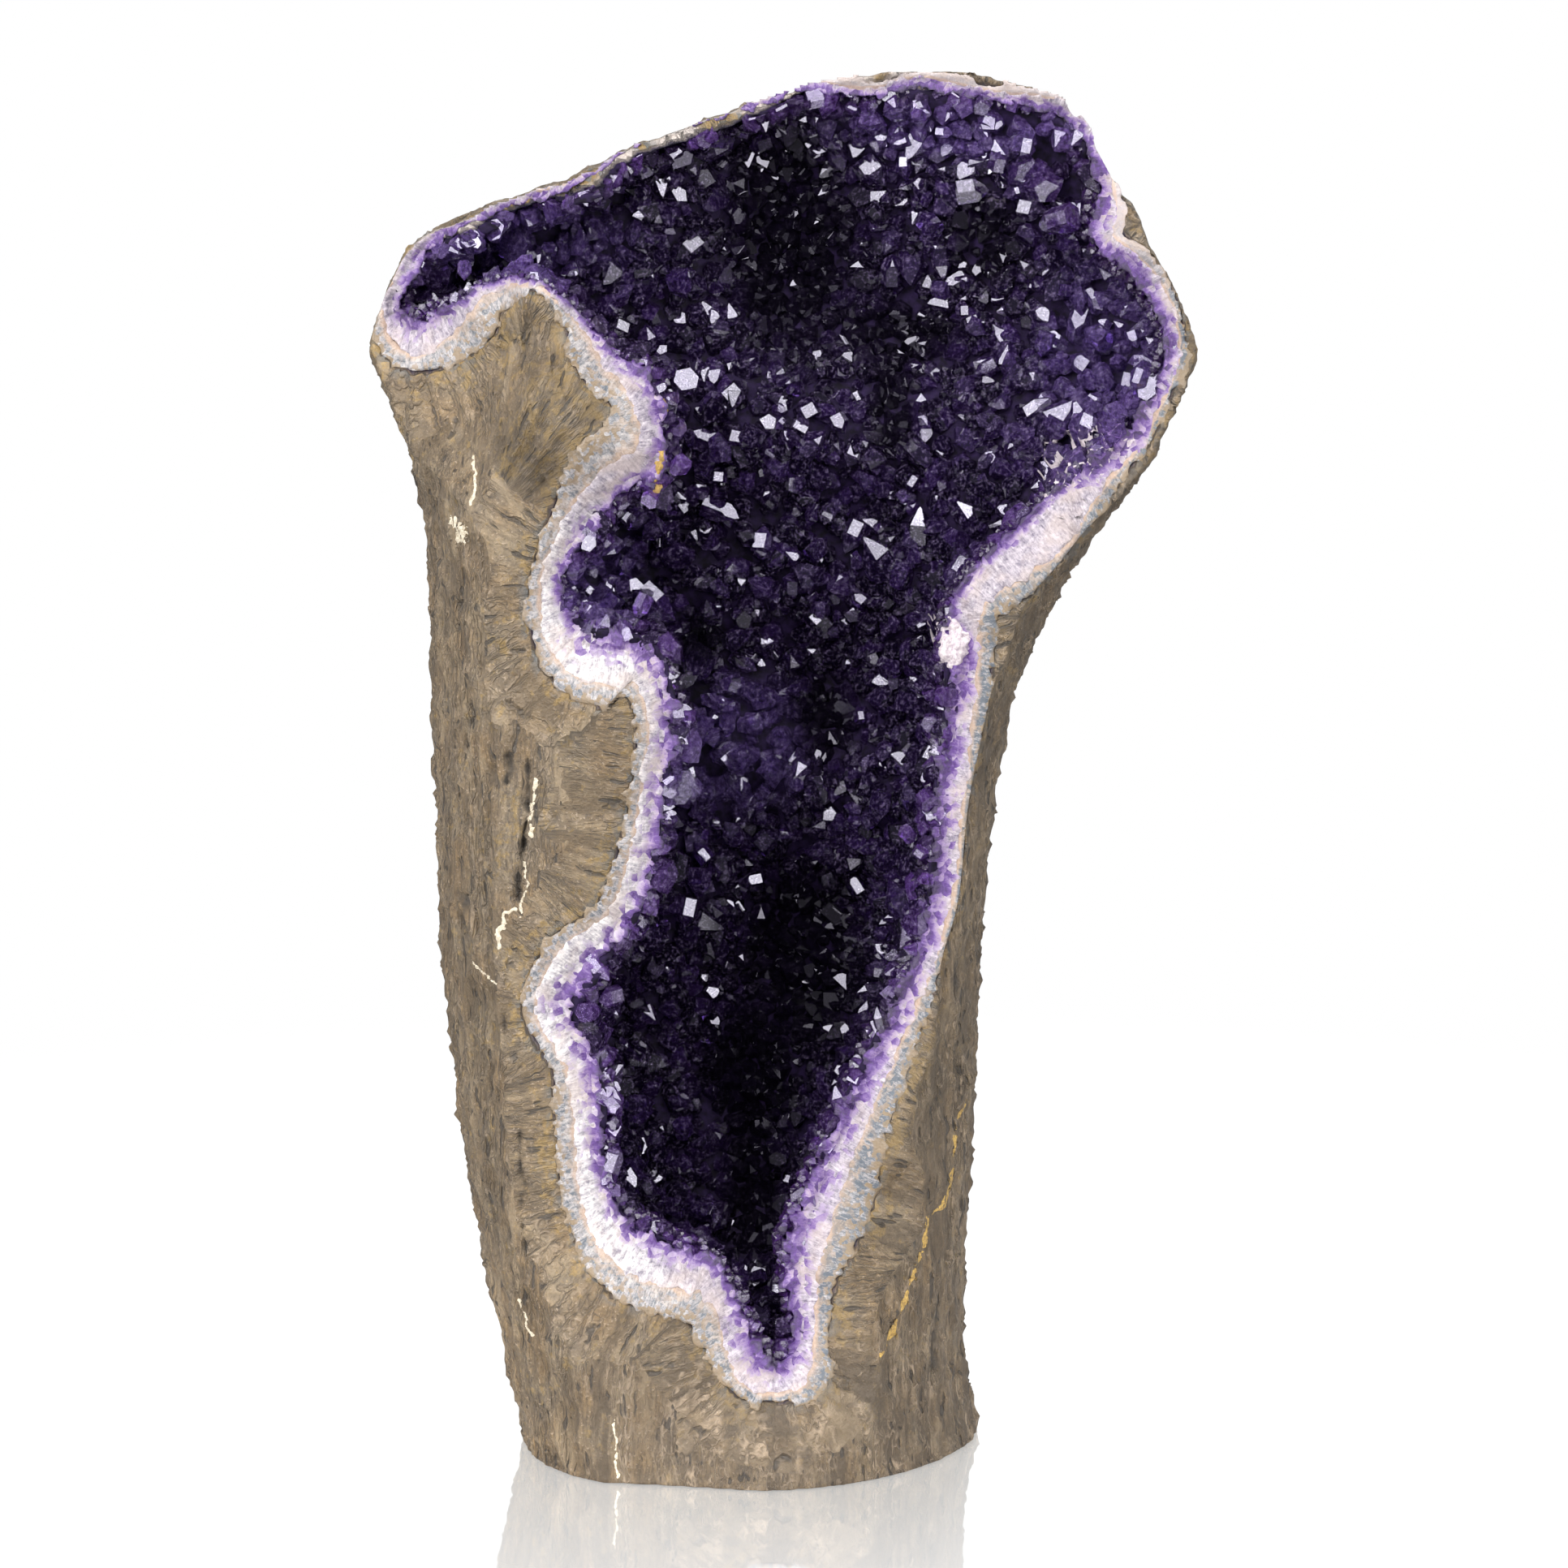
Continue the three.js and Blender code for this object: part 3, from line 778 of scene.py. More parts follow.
def stroke_relief(across, along, seed):
    """Two sizes of flute, each a sharp valley between round ridges."""
    place = np.stack([across, along, 0 * along], 1)
    fine_stroke = np.abs(swell(place, [FLUTE_WIDTH, FLUTE_LENGTH, 1], seed))
    return -fine_stroke - 0.8 * np.abs(swell(place, [FLUTE_WIDTH * 2.1, FLUTE_LENGTH, 1], seed + 1))


def flute_height(points, beyond, run):
    """Relief of the ground face around the mouth, in millimetres."""
    lobe = in_lobe(points)
    foot = mound(points[:, 0], points[:, 2], *FOOT)
    strip = (1 - smooth(*STRIP_ENDS, beyond - STRIP_LONGER_AT_FOOT * foot)) * (1 - lobe)
    strokes = strip * (FLUTE_DEPTH + FOOT_FLUTE_DEPTH * foot) * stroke_relief(run, beyond, 51)
    strokes += FAN_FLUTE_DEPTH * lobe * stroke_relief(*fan_place(points), 55)
    first, _, way, name = cells(points, CHIP_SIZE, 61)
    chip = 0.9 * (np.minimum(first / 0.8, 1) ** 2 - 1) + way[:, 0] * (name - 0.5)
    fine = swell(points, FACE_GRAIN, 62)
    return strokes + (0.8 + 0.5 * (1 - strip)) * chip + 0.5 * fine


print("a flute is %.1f mm wide" % FLUTE_WIDTH)

# %% [markdown]
# The relief now moves the husk's points in and out. It gets shallower where the wall is thin, and it
# stops at the sawn base. By the top edge a pale crust covers the rock next to the mouth: the mesh only
# keeps how much of it there is at each point, and the finish shows it.

# %% Move the husk's points
CRUSTED_ABOVE = (606, 616)
CRUST_LINE_SLOPE = 0.45
CRUST_REACH = (6, 14)
CRUST_DEPTH = (5, 10)
THIN_WALL = (6, 16)

rock_normals = point_normals(rock_points, rock_faces)
front_side = ~in_cavity & (rock_points[:, 1] < 60)
rock_distance = np.full(len(rock_points), 90.0)
rock_run = np.zeros(len(rock_points))
rock_band = np.zeros(len(rock_points))
measured = measure_mouth(rock_points[front_side, 0], rock_points[front_side, 2])
rock_distance[front_side], rock_run[front_side] = measured[0], measured[1]
rock_band[front_side] = measured[3] + measured[4]
beyond_band = rock_distance - rock_band

relief = (1 - dressed) * peck_height(rock_points)
relief += dressed * flute_height(rock_points, beyond_band, rock_run) * smooth(-1, 7, beyond_band)
fan_across, fan_along = fan_place(rock_points)
crusted = smooth(*CRUSTED_ABOVE, rock_points[:, 2] - CRUST_LINE_SLOPE * rock_points[:, 0])
crusted *= (1 - smooth(*CRUST_REACH, beyond_band)) * (1 - smooth(*CRUST_DEPTH, face_gap))
lobe = in_lobe(rock_points) * dressed
grooves = groove_depth(rock_points, rock_normals)
relief -= grooves
relief *= 0.25 + 0.75 * smooth(*THIN_WALL, -sample(hollow, rock_points))
relief *= ~in_cavity
relief *= smooth(0, 3, rock_points[:, 2])
rock_points += relief[:, None] * rock_normals
rock_points[:, 2] = np.clip(rock_points[:, 2], 0, STONE_TOP - 0.2)
print("relief of the husk: %.1f to %.1f mm" % (relief.min(), relief.max()))

# %% [markdown]
# The moved points become the husk's mesh, with the numbers that its finish reads. Nobody sees the
# cavity behind the crust, so a decimate modifier, limited to its points, merges most of its faces. That
# leaves the triangles for the relief that shows.

# %% Make the husk's mesh and thin out its hidden cavity
KEPT_SHARE_OF_CAVITY = 0.07
BEHIND_STAINS = 6

# Behind the face the distance from the bands also grows with depth, so that their stains end there
stain_distance = beyond_band + 2 * np.clip(face_gap - BEHIND_STAINS, 0, 60)
husk = make_piece(
    "basalt_rock",
    rock_points,
    rock_faces,
    {
        "beyond": np.clip(stain_distance, -20, 90),
        "run": rock_run,
        "dressed": dressed,
        "groove": grooves,
        "fan_across": fan_across,
        "fan_along": fan_along,
        "lobe": lobe,
        "relief": relief,
        "lining": in_cavity.astype(float),
        "crusted": crusted,
    },
)
hidden = husk.vertex_groups.new(name="hidden")
hidden.add(np.flatnonzero(in_cavity).tolist(), 1.0, "REPLACE")
thin = husk.modifiers.new("thin the cavity", "DECIMATE")
thin.ratio = 1 - (1 - KEPT_SHARE_OF_CAVITY) * in_cavity.mean()
thin.vertex_group = "hidden"
thin.vertex_group_factor = 20
print("husk: %d triangles" % count_triangles(husk), "cavity share %.2f" % in_cavity.mean())

# %% [markdown]
# Bands on the dressed face
#
# Seen from the front, the chalcedony and the white quartz are bands only 2 to 20 mm wide. A grid fine
# enough for them would be wasteful in three dimensions, but on the dressed face each point has just one
# depth, so a flat grid does the same work. The grid's points next to a band's edge slide onto that
# edge. The sheet then gets a back and sides, so that the band is a closed piece let into the stone. It
# gets thinner towards the skin, so that it doesn't come out of the stone's back.

# %% A fine flat grid over the dressed face
PLATE_STEP = 1.25
MEASURED_REACH = 40
plate_axes = [np.arange(GRID_LOW[k], GRID_HIGH[k], PLATE_STEP) for k in (0, 2)]
PX, PZ = np.meshgrid(*plate_axes, indexing="ij")
flat_points = np.stack([PX.ravel(), np.zeros(PX.size), PZ.ravel()], 1)
coarse = sample(EDGE_SHEET, flat_points).reshape(PX.shape)
close = np.abs(coarse) < MEASURED_REACH
P_EDGE = coarse.copy()
P_RUN, P_TIPS, P_QUARTZ, P_CHALCEDONY = (np.zeros(PX.shape) for _ in range(4))
P_FACE = np.zeros(PX.shape)
mouth_grids = (P_EDGE, P_RUN, P_TIPS, P_QUARTZ, P_CHALCEDONY)
for grid, values in zip(mouth_grids, measure_mouth(PX[close], PZ[close])):
    grid[close] = values
P_FACE[close] = face_depth(PX[close], PZ[close], P_EDGE[close])
P_SKIN = np.full(PX.shape, -9.0)
P_SKIN[close] = inside_outline(SKIN_LEVELS, PX[close], P_FACE[close], PZ[close]) - SKIN_INSET
P_SKIN[close] -= dip_at(PX[close], PZ[close])
P_SKIN = np.minimum(P_SKIN, STONE_TOP - 0.5 - PZ)
print("flat grid: %d x %d, %d points near the mouth" % (*PX.shape, close.sum()))

# %% Closed plates from regions of the flat grid
along_mouth = np.stack([P_RUN[close], P_EDGE[close], np.zeros(close.sum())], 1)
in_space = np.stack([PX[close], P_FACE[close], PZ[close]], 1)


def on_grid(values):
    """Values of the points near the mouth, put back on the flat grid."""
    out = np.zeros(PX.shape)
    out[close] = values
    return out


def flat_swell(size, seed):
    """Noise on the flat grid, with x running along the mouth and y away from it."""
    return on_grid(swell(along_mouth, [*size, 1], seed))


def straight_swell(size, seed):
    """Noise on the flat grid, in plain millimetres."""
    return on_grid(swell(in_space, [size] * 3, seed))


def closed_plate(region, front, thickness, across=PX, up=PZ, step=PLATE_STEP, rounding=1.1):
    """Points and faces of a closed sheet wherever region is positive, and each point's place in the
    flat grid."""
    inside = region > 0
    slope_x, slope_z = np.gradient(region, step)
    slide = np.where(inside, 0, np.clip(-region, 0, 1.6 * step) / (slope_x**2 + slope_z**2 + 0.05))
    move_x = np.clip(slide * slope_x, -step, step)
    move_z = np.clip(slide * slope_z, -step, step)
    front_x, front_z = np.gradient(front, step)
    sink = rounding * (1 - np.clip(region / (1.6 * rounding), 0, 1)) ** 2
    depth = front + move_x * front_x + move_z * front_z + sink
    keep = inside[:-1, :-1] | inside[1:, :-1] | inside[1:, 1:] | inside[:-1, 1:]
    i, j = np.nonzero(keep)
    rows = across.shape[1]
    corner = i * rows + j
    quads = np.stack([corner, corner + rows, corner + rows + 1, corner + 1], 1)
    used, index = np.unique(quads, return_inverse=True)
    quads = index.reshape(-1, 4)
    spot = np.unravel_index(used, across.shape)
    sheet = np.stack([(across + move_x)[spot], depth[spot], (up + move_z)[spot]], 1)
    back = sheet.copy()
    back[:, 1] += np.broadcast_to(thickness, across.shape)[spot]
    count = len(sheet)
    starts = quads.ravel()
    ends = np.roll(quads, -1, 1).ravel()
    open_edge = ~np.isin(starts * count + ends, ends * count + starts)
    a, b = starts[open_edge], ends[open_edge]
    sides = np.stack([b, a, a + count, b + count], 1)
    faces = np.concatenate([quads, quads[:, ::-1] + count, sides])
    return np.concatenate([sheet, back]), faces, np.tile(used, 2)


def on_plate(values, used):
    """Values of the flat grid at the points of a plate."""
    return values.ravel()[used]


THINNEST_PLATE = 1.2
near_skin = np.clip(0.8 * P_SKIN + 0.4, THINNEST_PLATE, None)
print("thinnest plate:", THINNEST_PLATE, "mm")

# %% [markdown]
# The chalcedony is a finely grained grey band between basalt and quartz, broken in places. Its outer
# edge frays into the basalt. The white quartz covers its inner edge.

# %% The chalcedony band
BAND_THICKNESS = 9.0
BAND_UNDER_QUARTZ = 2.2
BAND_PROUD = 0.35
fray = 3.4 * flat_swell([9, 12], 81) + 3.2 * flat_swell([3.2, 6], 82)
fray = np.maximum(fray, -2.0)
band_region = np.minimum(P_EDGE - P_QUARTZ + BAND_UNDER_QUARTZ, P_QUARTZ + P_CHALCEDONY + fray - P_EDGE)
band_region = np.minimum(band_region, P_SKIN - 0.2)
band_front = P_FACE - BAND_PROUD + 0.55 * straight_swell(2.8, 83) + 0.5 * straight_swell(9, 84)
points, faces, used = closed_plate(band_region, band_front, np.minimum(BAND_THICKNESS, near_skin))
band = make_piece(
    "chalcedony_rim",
    points,
    faces,
    {
        "across": on_plate((P_EDGE - P_QUARTZ) / np.maximum(P_CHALCEDONY, 1), used),
        "run": on_plate(P_RUN, used),
        "beyond": on_plate(P_EDGE, used),
    },
)
print("chalcedony rim: %d triangles" % count_triangles(band))

# %% [markdown]
# The white quartz is the root zone of the crystals: thin prisms, packed side by side, all pointing
# into the hollow. On the dressed face they show as fine fibres. The inner edge is toothed and swollen,
# because each tooth is the start of a crystal, and it sinks a little towards the hollow.

# %% The white quartz
QUARTZ_THICKNESS = 10.0
DOME_SIZE = [5.5, 7]
DOME_HEIGHT = 2.2
QUARTZ_PROUD = 0.8
QUARTZ_FALL = 0.4

dome = on_grid(1 - np.minimum(cells(along_mouth, [*DOME_SIZE, 9], 95)[0] / 0.75, 1) ** 2)
jagged = 0.5 * np.abs(flat_swell([3.6, 60], 91)) + 0.5 * flat_swell([9, 60], 96)
teeth = P_TIPS * (0.35 + 0.35 * dome + jagged)
fringe = 1.6 * flat_swell([3, 6], 92) + 2.4 * flat_swell([8, 12], 97)
quartz_region = np.minimum(P_EDGE + teeth, P_QUARTZ + fringe - P_EDGE)
quartz_region = np.minimum(quartz_region, P_SKIN - 0.1)
fibres = flat_swell([1.9, 11], 93)
fall = QUARTZ_FALL * np.clip(1.5 - P_EDGE, 0, 20)
swollen = DOME_HEIGHT * dome * smooth(0, 1, 0.3 - P_EDGE / 4)
quartz_front = P_FACE - QUARTZ_PROUD + 0.6 * fibres + 0.7 * straight_swell(7, 94) + fall - swollen
points, faces, used = closed_plate(quartz_region, quartz_front, np.minimum(QUARTZ_THICKNESS, near_skin))
quartz_surface = (points, np.concatenate([faces[:, :3], faces[:, [0, 2, 3]]]))
quartz_rim = make_piece(
    "white_quartz_rim",
    points,
    faces,
    {
        "edge": on_plate(P_EDGE, used),
        "across": on_plate(P_EDGE / np.maximum(P_QUARTZ, 1), used),
        "inward": on_plate(-P_EDGE / np.maximum(P_TIPS, 2), used),
        "run": on_plate(P_RUN, used),
    },
)
print("white quartz rim: %d triangles" % count_triangles(quartz_rim))

# %% [markdown]
# The bed of the crystals
#
# Behind the rim the crust lines the whole hollow. Its surface is hidden by crystals almost everywhere,
# so it is only a thin shell, thinned to few faces. Its real use is to say where crystals may stand and
# which way is up for them: straight into the hollow.

# %% The crust's bed
BED_STEP_DOWN = 2.0
BED_BELOW_CRYSTALS = 2.2
BED_SKIN_GAP = 1.6
bed_field = np.minimum(hollow + CRUST_THICKNESS + 2, -BED_BELOW_CRYSTALS - hollow)
bed_field = np.minimum(bed_field, GY - (FACE + BED_STEP_DOWN))
bed_field = np.minimum(bed_field, skin_near - SKIN_INSET - BED_SKIN_GAP)
bed_points, bed_faces = surface_net(bed_field)
bed = make_piece("crystal_bed", bed_points, bed_faces)
thin = bed.modifiers.new("thin the bed", "DECIMATE")
thin.ratio = 0.3
print("bed: %d faces, %d triangles once thinned" % (len(bed_faces), count_triangles(bed)))

# %% [markdown]
# Places for the crystals
#
# Real crystals start at random and crowd until they touch. Dart throwing gives just that: try random
# places, biggest crystals first, and keep a place only if it isn't too close to one already kept.
# A hidden place, on the inner side of the front wall, gets only a thin cover.

# %% Throw darts on the bed
DARTS_PER_FACE = 3
NEAR_WALL = 1.4
BEHIND_FACE = 2.8
FACING_AWAY = 0.45
HIDDEN_EXTRA_SPACING = 6

slopes = [np.gradient(hollow, STEP, axis=k) for k in range(3)]
centres = bed_points[bed_faces].mean(1)
inward = np.stack([sample(s, centres) for s in slopes], 1)
inward /= np.maximum(np.linalg.norm(inward, axis=1, keepdims=True), 1e-6)
wall = np.abs(sample(hollow, centres) + BED_BELOW_CRYSTALS) < NEAR_WALL
wall &= sample(behind_face, centres) > BEHIND_FACE
candidates = np.flatnonzero(wall)
darts = rng.permutation(np.repeat(candidates, DARTS_PER_FACE))
spots = centres[darts] + rng.uniform(-STEP / 2, STEP / 2, (len(darts), 3))

# The first darts are the biggest: how many of them, and the range of their spacing
spacing = np.zeros(len(darts))
for count, low, high in ((len(darts), 3.4, 4.2), (90000, 5.0, 6.5), (2000, 6.6, 8.6), (130, 8.6, 10.6)):
    spacing[:count] = rng.uniform(low, high, count)[: len(darts)]
spacing = np.minimum(spacing, 4.6 + 0.25 * np.maximum(sample(behind_face, spots), 0))
facing_away = inward[darts][:, 1] > FACING_AWAY
spacing[facing_away] += HIDDEN_EXTRA_SPACING
print("darts:", len(darts), "of which on hidden walls:", facing_away.sum())

# %% Keep the darts that aren't too close to one already kept
CELL = 7.0


def is_free(k, cube, shelf):
    """Whether dart k keeps its distance from the kept ones, which are filed by the cube they lie in."""
    reach = int(spacing[k] // CELL) + 1
    for step in itertools.product(range(-reach, reach + 1), repeat=3):
        for other in shelf.get((cube[0] + step[0], cube[1] + step[1], cube[2] + step[2]), ()):
            limit = 0.5 * (spacing[k] + spacing[other])
            dx, dy, dz = spots[other] - spots[k]
            if dx * dx + dy * dy + dz * dz < limit * limit:
                return False
    return True


kept, shelf = [], {}
for k, cube in enumerate(map(tuple, (spots // CELL).astype(int).tolist())):
    if is_free(k, cube, shelf):
        kept.append(k)
        shelf.setdefault(cube, []).append(k)
kept = np.array(kept)
print("%d crystals on the bed, from %d darts" % (len(kept), len(darts)))

# %% [markdown]
# One crystal
#
# A quartz crystal is a six-sided prism with a six-sided point. In amethyst the prism is short and three
# of the point's faces are usually larger than the other three, so the tips look like three-sided
# pyramids. The angle between those faces and the crystal's axis is always the same, 51.8 degrees
# between the face's normal and the axis. We start with a prism and cut it with planes, as a gem cutter
# would, with the planes' distances drawn at random. Each crystal's tip is at its own origin. A few
# dozen shapes are enough, because size, turn and lean make every crystal different.

# %% Cut crystals from prisms
FACE_ANGLE = math.radians(51.8)
PRISM_LENGTH = 2.3


def cut(polygons, normal, limit):
    """The part of a convex solid where the points' height along normal is at most limit."""
    kept_polygons, cap = [], []
    for polygon in polygons:
        heights = [float(p @ normal) - limit for p in polygon]
        result = []
        for k, (p, h) in enumerate(zip(polygon, heights)):
            q, g = polygon[k - 1], heights[k - 1]
            if (h > 0) != (g > 0):
                meeting = q + (p - q) * (g / (g - h))
                result.append(meeting)
                cap.append(meeting)
            if h <= 0:
                result.append(p)
        if len(result) > 2:
            kept_polygons.append(result)
    if len(cap) > 2:
        middle_point = sum(cap) / len(cap)
        u = cap[0] - middle_point
        u = u / max(np.linalg.norm(u), 1e-9)
        v = np.cross(normal, u)
        angles = [math.atan2(float((c - middle_point) @ v), float((c - middle_point) @ u)) for c in cap]
        kept_polygons.append([cap[k] for k in np.argsort(angles)])
    return kept_polygons


print("a face's normal makes %.1f degrees with the axis" % math.degrees(FACE_ANGLE))

# %% Draw the crystal shapes
def rough_crystal(chance):
    """A crystal of about unit radius as a list of polygons."""
    square = [(-2, -2), (2, -2), (2, 2), (-2, 2)]
    low, high = ([np.array([a, b, level]) for a, b in square] for level in (-PRISM_LENGTH, 1.0))
    polygons = [low[::-1], high]
    polygons += [[low[k - 1], low[k], high[k], high[k - 1]] for k in (1, 2, 3, 0)]
    least_back = chance.choice([0.0, 0.0, 0.14, 0.3])
    for side in range(6):
        turn = side * math.pi / 3
        prism = np.array([math.cos(turn), math.sin(turn), 0])
        polygons = cut(polygons, prism, chance.uniform(0.74, 0.98))
        point = prism * math.sin(FACE_ANGLE) + np.array([0, 0, math.cos(FACE_ANGLE)])
        larger = side % 2 == 0
        offset = chance.uniform(-0.08, 0.05) if larger else least_back + chance.uniform(-0.05, 0.16)
        polygons = cut(polygons, point, offset)
    return polygons


def join_corners(polygons):
    """Shared points and triangles of a list of polygons."""
    corners, triangles, index = [], [], {}
    for polygon in polygons:
        ids = []
        for p in polygon:
            key = tuple(np.round(p, 4))
            if key not in index:
                index[key] = len(corners)
                corners.append(p)
            if index[key] not in ids:
                ids.append(index[key])
        triangles += [(ids[0], ids[k], ids[k + 1]) for k in range(1, len(ids) - 1)]
    return np.array(corners), np.array(triangles, int).reshape(-1, 3)


SHAPES = 28
templates = [join_corners(rough_crystal(rng)) for _ in range(SHAPES)]
triangle_counts = [len(triangles) for _, triangles in templates]
print("%d crystal shapes of %d to %d triangles" % (SHAPES, min(triangle_counts), max(triangle_counts)))

# %% [markdown]
# Plant the crystals
#
# Each crystal stands roughly at right angles to its bed and leans at random. Those on the back of the
# hollow need nothing more. Those that would stand out of the dressed face are pushed back until they
# fit, so that every one keeps its natural point. Those that would come out of the stone's back get a
# shorter base. Along the rim a few rows of smaller crystals lie almost in the plane of the face and
# point into the mouth: they make the violet edge of the white band.

# %% Turn, lean and settle crystals
def frames_along(axes):
    """For each axis a rotation whose third column is that axis, rolled at random."""
    helper = np.where(np.abs(axes[:, [2]]) < 0.9, [[0, 0, 1.0]], [[1.0, 0, 0]])
    u = np.cross(helper, axes)
    u /= np.linalg.norm(u, axis=1, keepdims=True)
    v = np.cross(axes, u)
    roll = rng.uniform(0, 2 * math.pi, len(axes))[:, None]
    first = u * np.cos(roll) + v * np.sin(roll)
    return np.stack([first, np.cross(axes, first), axes], 2)


def lean(axes, spread):
    """Axes turned away from their direction by a random angle."""
    shaken = axes + rng.normal(0, spread, axes.shape)
    return shaken / np.linalg.norm(shaken, axis=1, keepdims=True)


DEEPEST_PUSH = 2.2
BAND_COVER = 1.5
SKIN_COVER = 0.9
STUBBY_BASE = -1.3


def grow(tips, turns, radius, length, proud):
    """Points, triangles and number of each crystal. A crystal that would stand out of the dressed
    face by more than proud, or lie over the bands, is pushed back. One that would break through the
    skin gets a shorter base. It is dropped if that isn't enough, or if it would be buried."""
    shape = rng.integers(0, SHAPES, len(tips))
    sizes = np.stack([radius, radius, radius * length], 1)

    def settle(corners, members):
        """Corners of the crystals that have one shape, pushed back, and whether each one fits."""
        placed = np.einsum("nij,nvj->nvi", turns[members], corners[None] * sizes[members][:, None])
        placed += tips[members][:, None]
        flat = placed.reshape(-1, 3)
        past_edge = sample(EDGE_SHEET, flat * [1, 0, 1])
        least = np.where(past_edge > 0.3, BAND_COVER + np.clip(0.5 * past_edge, 0, 5), -proud)
        push = (least - sample(behind_face, flat)).reshape(len(members), -1).max(1)
        push = np.maximum(push, 0)
        placed[:, :, 1] += push[:, None]
        skin_gap = sample(skin_near, placed.reshape(-1, 3)).reshape(len(members), -1).min(1)
        fits = (push < DEEPEST_PUSH * radius[members]) & (skin_gap > SKIN_INSET + SKIN_COVER)
        return placed, fits & (placed[:, :, 2].max(1) < STONE_TOP)

    all_points, all_triangles, all_owner = [], [], []
    start = 0
    for s, (corners, triangles) in enumerate(templates):
        members = np.flatnonzero(shape == s)
        placed, fits = settle(corners, members)
        short = np.stack([*corners.T[:2], np.maximum(corners[:, 2], STUBBY_BASE)], 1)
        stubby, also_fits = settle(short, members)
        placed[~fits] = stubby[~fits]
        fits |= also_fits
        count = fits.sum()
        shift = start + np.arange(count)[:, None, None] * len(corners)
        all_points.append(placed[fits].reshape(-1, 3))
        all_triangles.append((triangles[None] + shift).reshape(-1, 3))
        all_owner.append(np.repeat(members[fits], len(corners)))
        start += count * len(corners)
    return [np.concatenate(a) for a in (all_points, all_triangles, all_owner)]


print("a crystal may be pushed back by up to %.1f times its radius" % DEEPEST_PUSH)

# %% Plant the crystals of the bed
in_pocket = zone_at(POCKETS, spots[kept][:, 0], spots[kept][:, 2])
bed_radius = spacing[kept] * rng.uniform(0.76, 0.96, len(kept))
bed_radius[facing_away[kept]] *= 0.7
spread = 0.62 * (1 - 0.75 * in_pocket) * np.clip(6 / bed_radius, 0.5, 1)
bed_up = lean(inward[darts[kept]], spread[:, None])
bed_length = rng.uniform(0.95, 1.3, len(kept))
stand = BED_BELOW_CRYSTALS + bed_radius * rng.uniform(0.62, 1.02, len(kept))
bed_tips = spots[kept] + inward[darts[kept]] * stand[:, None]
bed_crystals = grow(bed_tips, frames_along(bed_up), bed_radius, bed_length, proud=0.5)
print("bed crystals: %d triangles" % len(bed_crystals[1]))

# %% Rows of crystals along the rim
RIM_SPACING = 3.4
RIM_ROWS = 4
RIM_RADII = (1.6, 3.8)
ROW_DEPTH = 3.4
TANGENT_REACH = 4


def rim_row(row):
    """Tips, axes and radii of one row along the mouth, each row a little deeper than the last."""
    run = np.arange(row * 1.5, EDGE_RUN[-1], RIM_SPACING) + rng.uniform(-1.4, 1.4, 1)
    run = np.clip(run + rng.uniform(-1.3, 1.3, len(run)), 0, EDGE_RUN[-1] - 0.1)
    closed = np.concatenate([EDGE, EDGE[:1]])
    x, z, tips_width = (np.interp(run, EDGE_RUN, closed[:, k]) for k in (0, 1, 2))
    ahead, behind = (
        np.stack([np.interp((run + step) % EDGE_RUN[-1], EDGE_RUN, closed[:, k]) for k in (0, 1)], 1)
        for step in (TANGENT_REACH, -TANGENT_REACH)
    )
    tangent = ahead - behind
    tangent /= np.maximum(np.linalg.norm(tangent, axis=1, keepdims=True), 1e-6)
    into = np.stack([tangent[:, 1], np.zeros(len(run)), -tangent[:, 0]], 1)
    reach = tips_width * rng.uniform(0.55, 1.2, len(run)) + 1.0
    radius = np.clip(tips_width * rng.uniform(0.22, 0.42, len(run)), *RIM_RADII)
    depth = face_depth(x, z, 0 * x) + rng.uniform(0.1, 1.0, len(run)) * radius + row * ROW_DEPTH
    tips = np.stack([x, depth, z], 1) + into * reach[:, None]
    axes = lean(into + [0, -0.5, 0], 0.26)
    return tips, axes, radius


rows = [rim_row(k) for k in range(RIM_ROWS)]
rim_tips, rim_axes, rim_radius = (np.concatenate(column) for column in zip(*rows))
rim_length = rng.uniform(0.65, 1.0, len(rim_tips))
rim_crystals = grow(rim_tips, frames_along(rim_axes), rim_radius, rim_length, proud=1.6)
print("rim crystals: %d, %d triangles" % (len(rim_tips), len(rim_crystals[1])))


# %% [markdown]
# Thousands of loose objects would be slow to handle, so the crystals are joined as plain meshes: four
# pieces, one above the other, and one along the rim. Flat shading keeps their faces sharp. Each crystal
# gets a random shade, and each point knows how close it is to the rim, a pocket and a pale wall, which
# place the painted light and painted shade of its finish.

# %% Join the crystals into a few pieces
def crystal_piece(name, crystals, members, tint_seed):
    """One mesh object from the crystals whose numbers are marked in members."""
    points, triangles, owner = crystals
    chosen = members[owner]
    number = np.cumsum(chosen) - 1
    faces = triangles[chosen[triangles[:, 0]]]
    place = points[chosen]
    shade = np.random.default_rng(tint_seed).random(len(members))[owner[chosen]]
    edge, run, tips_width, quartz_width, _ = measure_mouth(place[:, 0], place[:, 2])
    return make_piece(
        name,
        place,
        number[faces],
        {
            "shade": shade,
            "edge": edge,
            "run": run,
            "behind": sample(behind_face, place),
            "inward": -edge / np.maximum(tips_width, 2),
            "across": edge / np.maximum(quartz_width, 1),
            "painted_pocket_shade": zone_at(POCKETS, place[:, 0], place[:, 2]),
            "pale": zone_at(PALE_AND_LIT_WALLS, place[:, 0], place[:, 2]),
        },
        shade_smooth=False,
    )


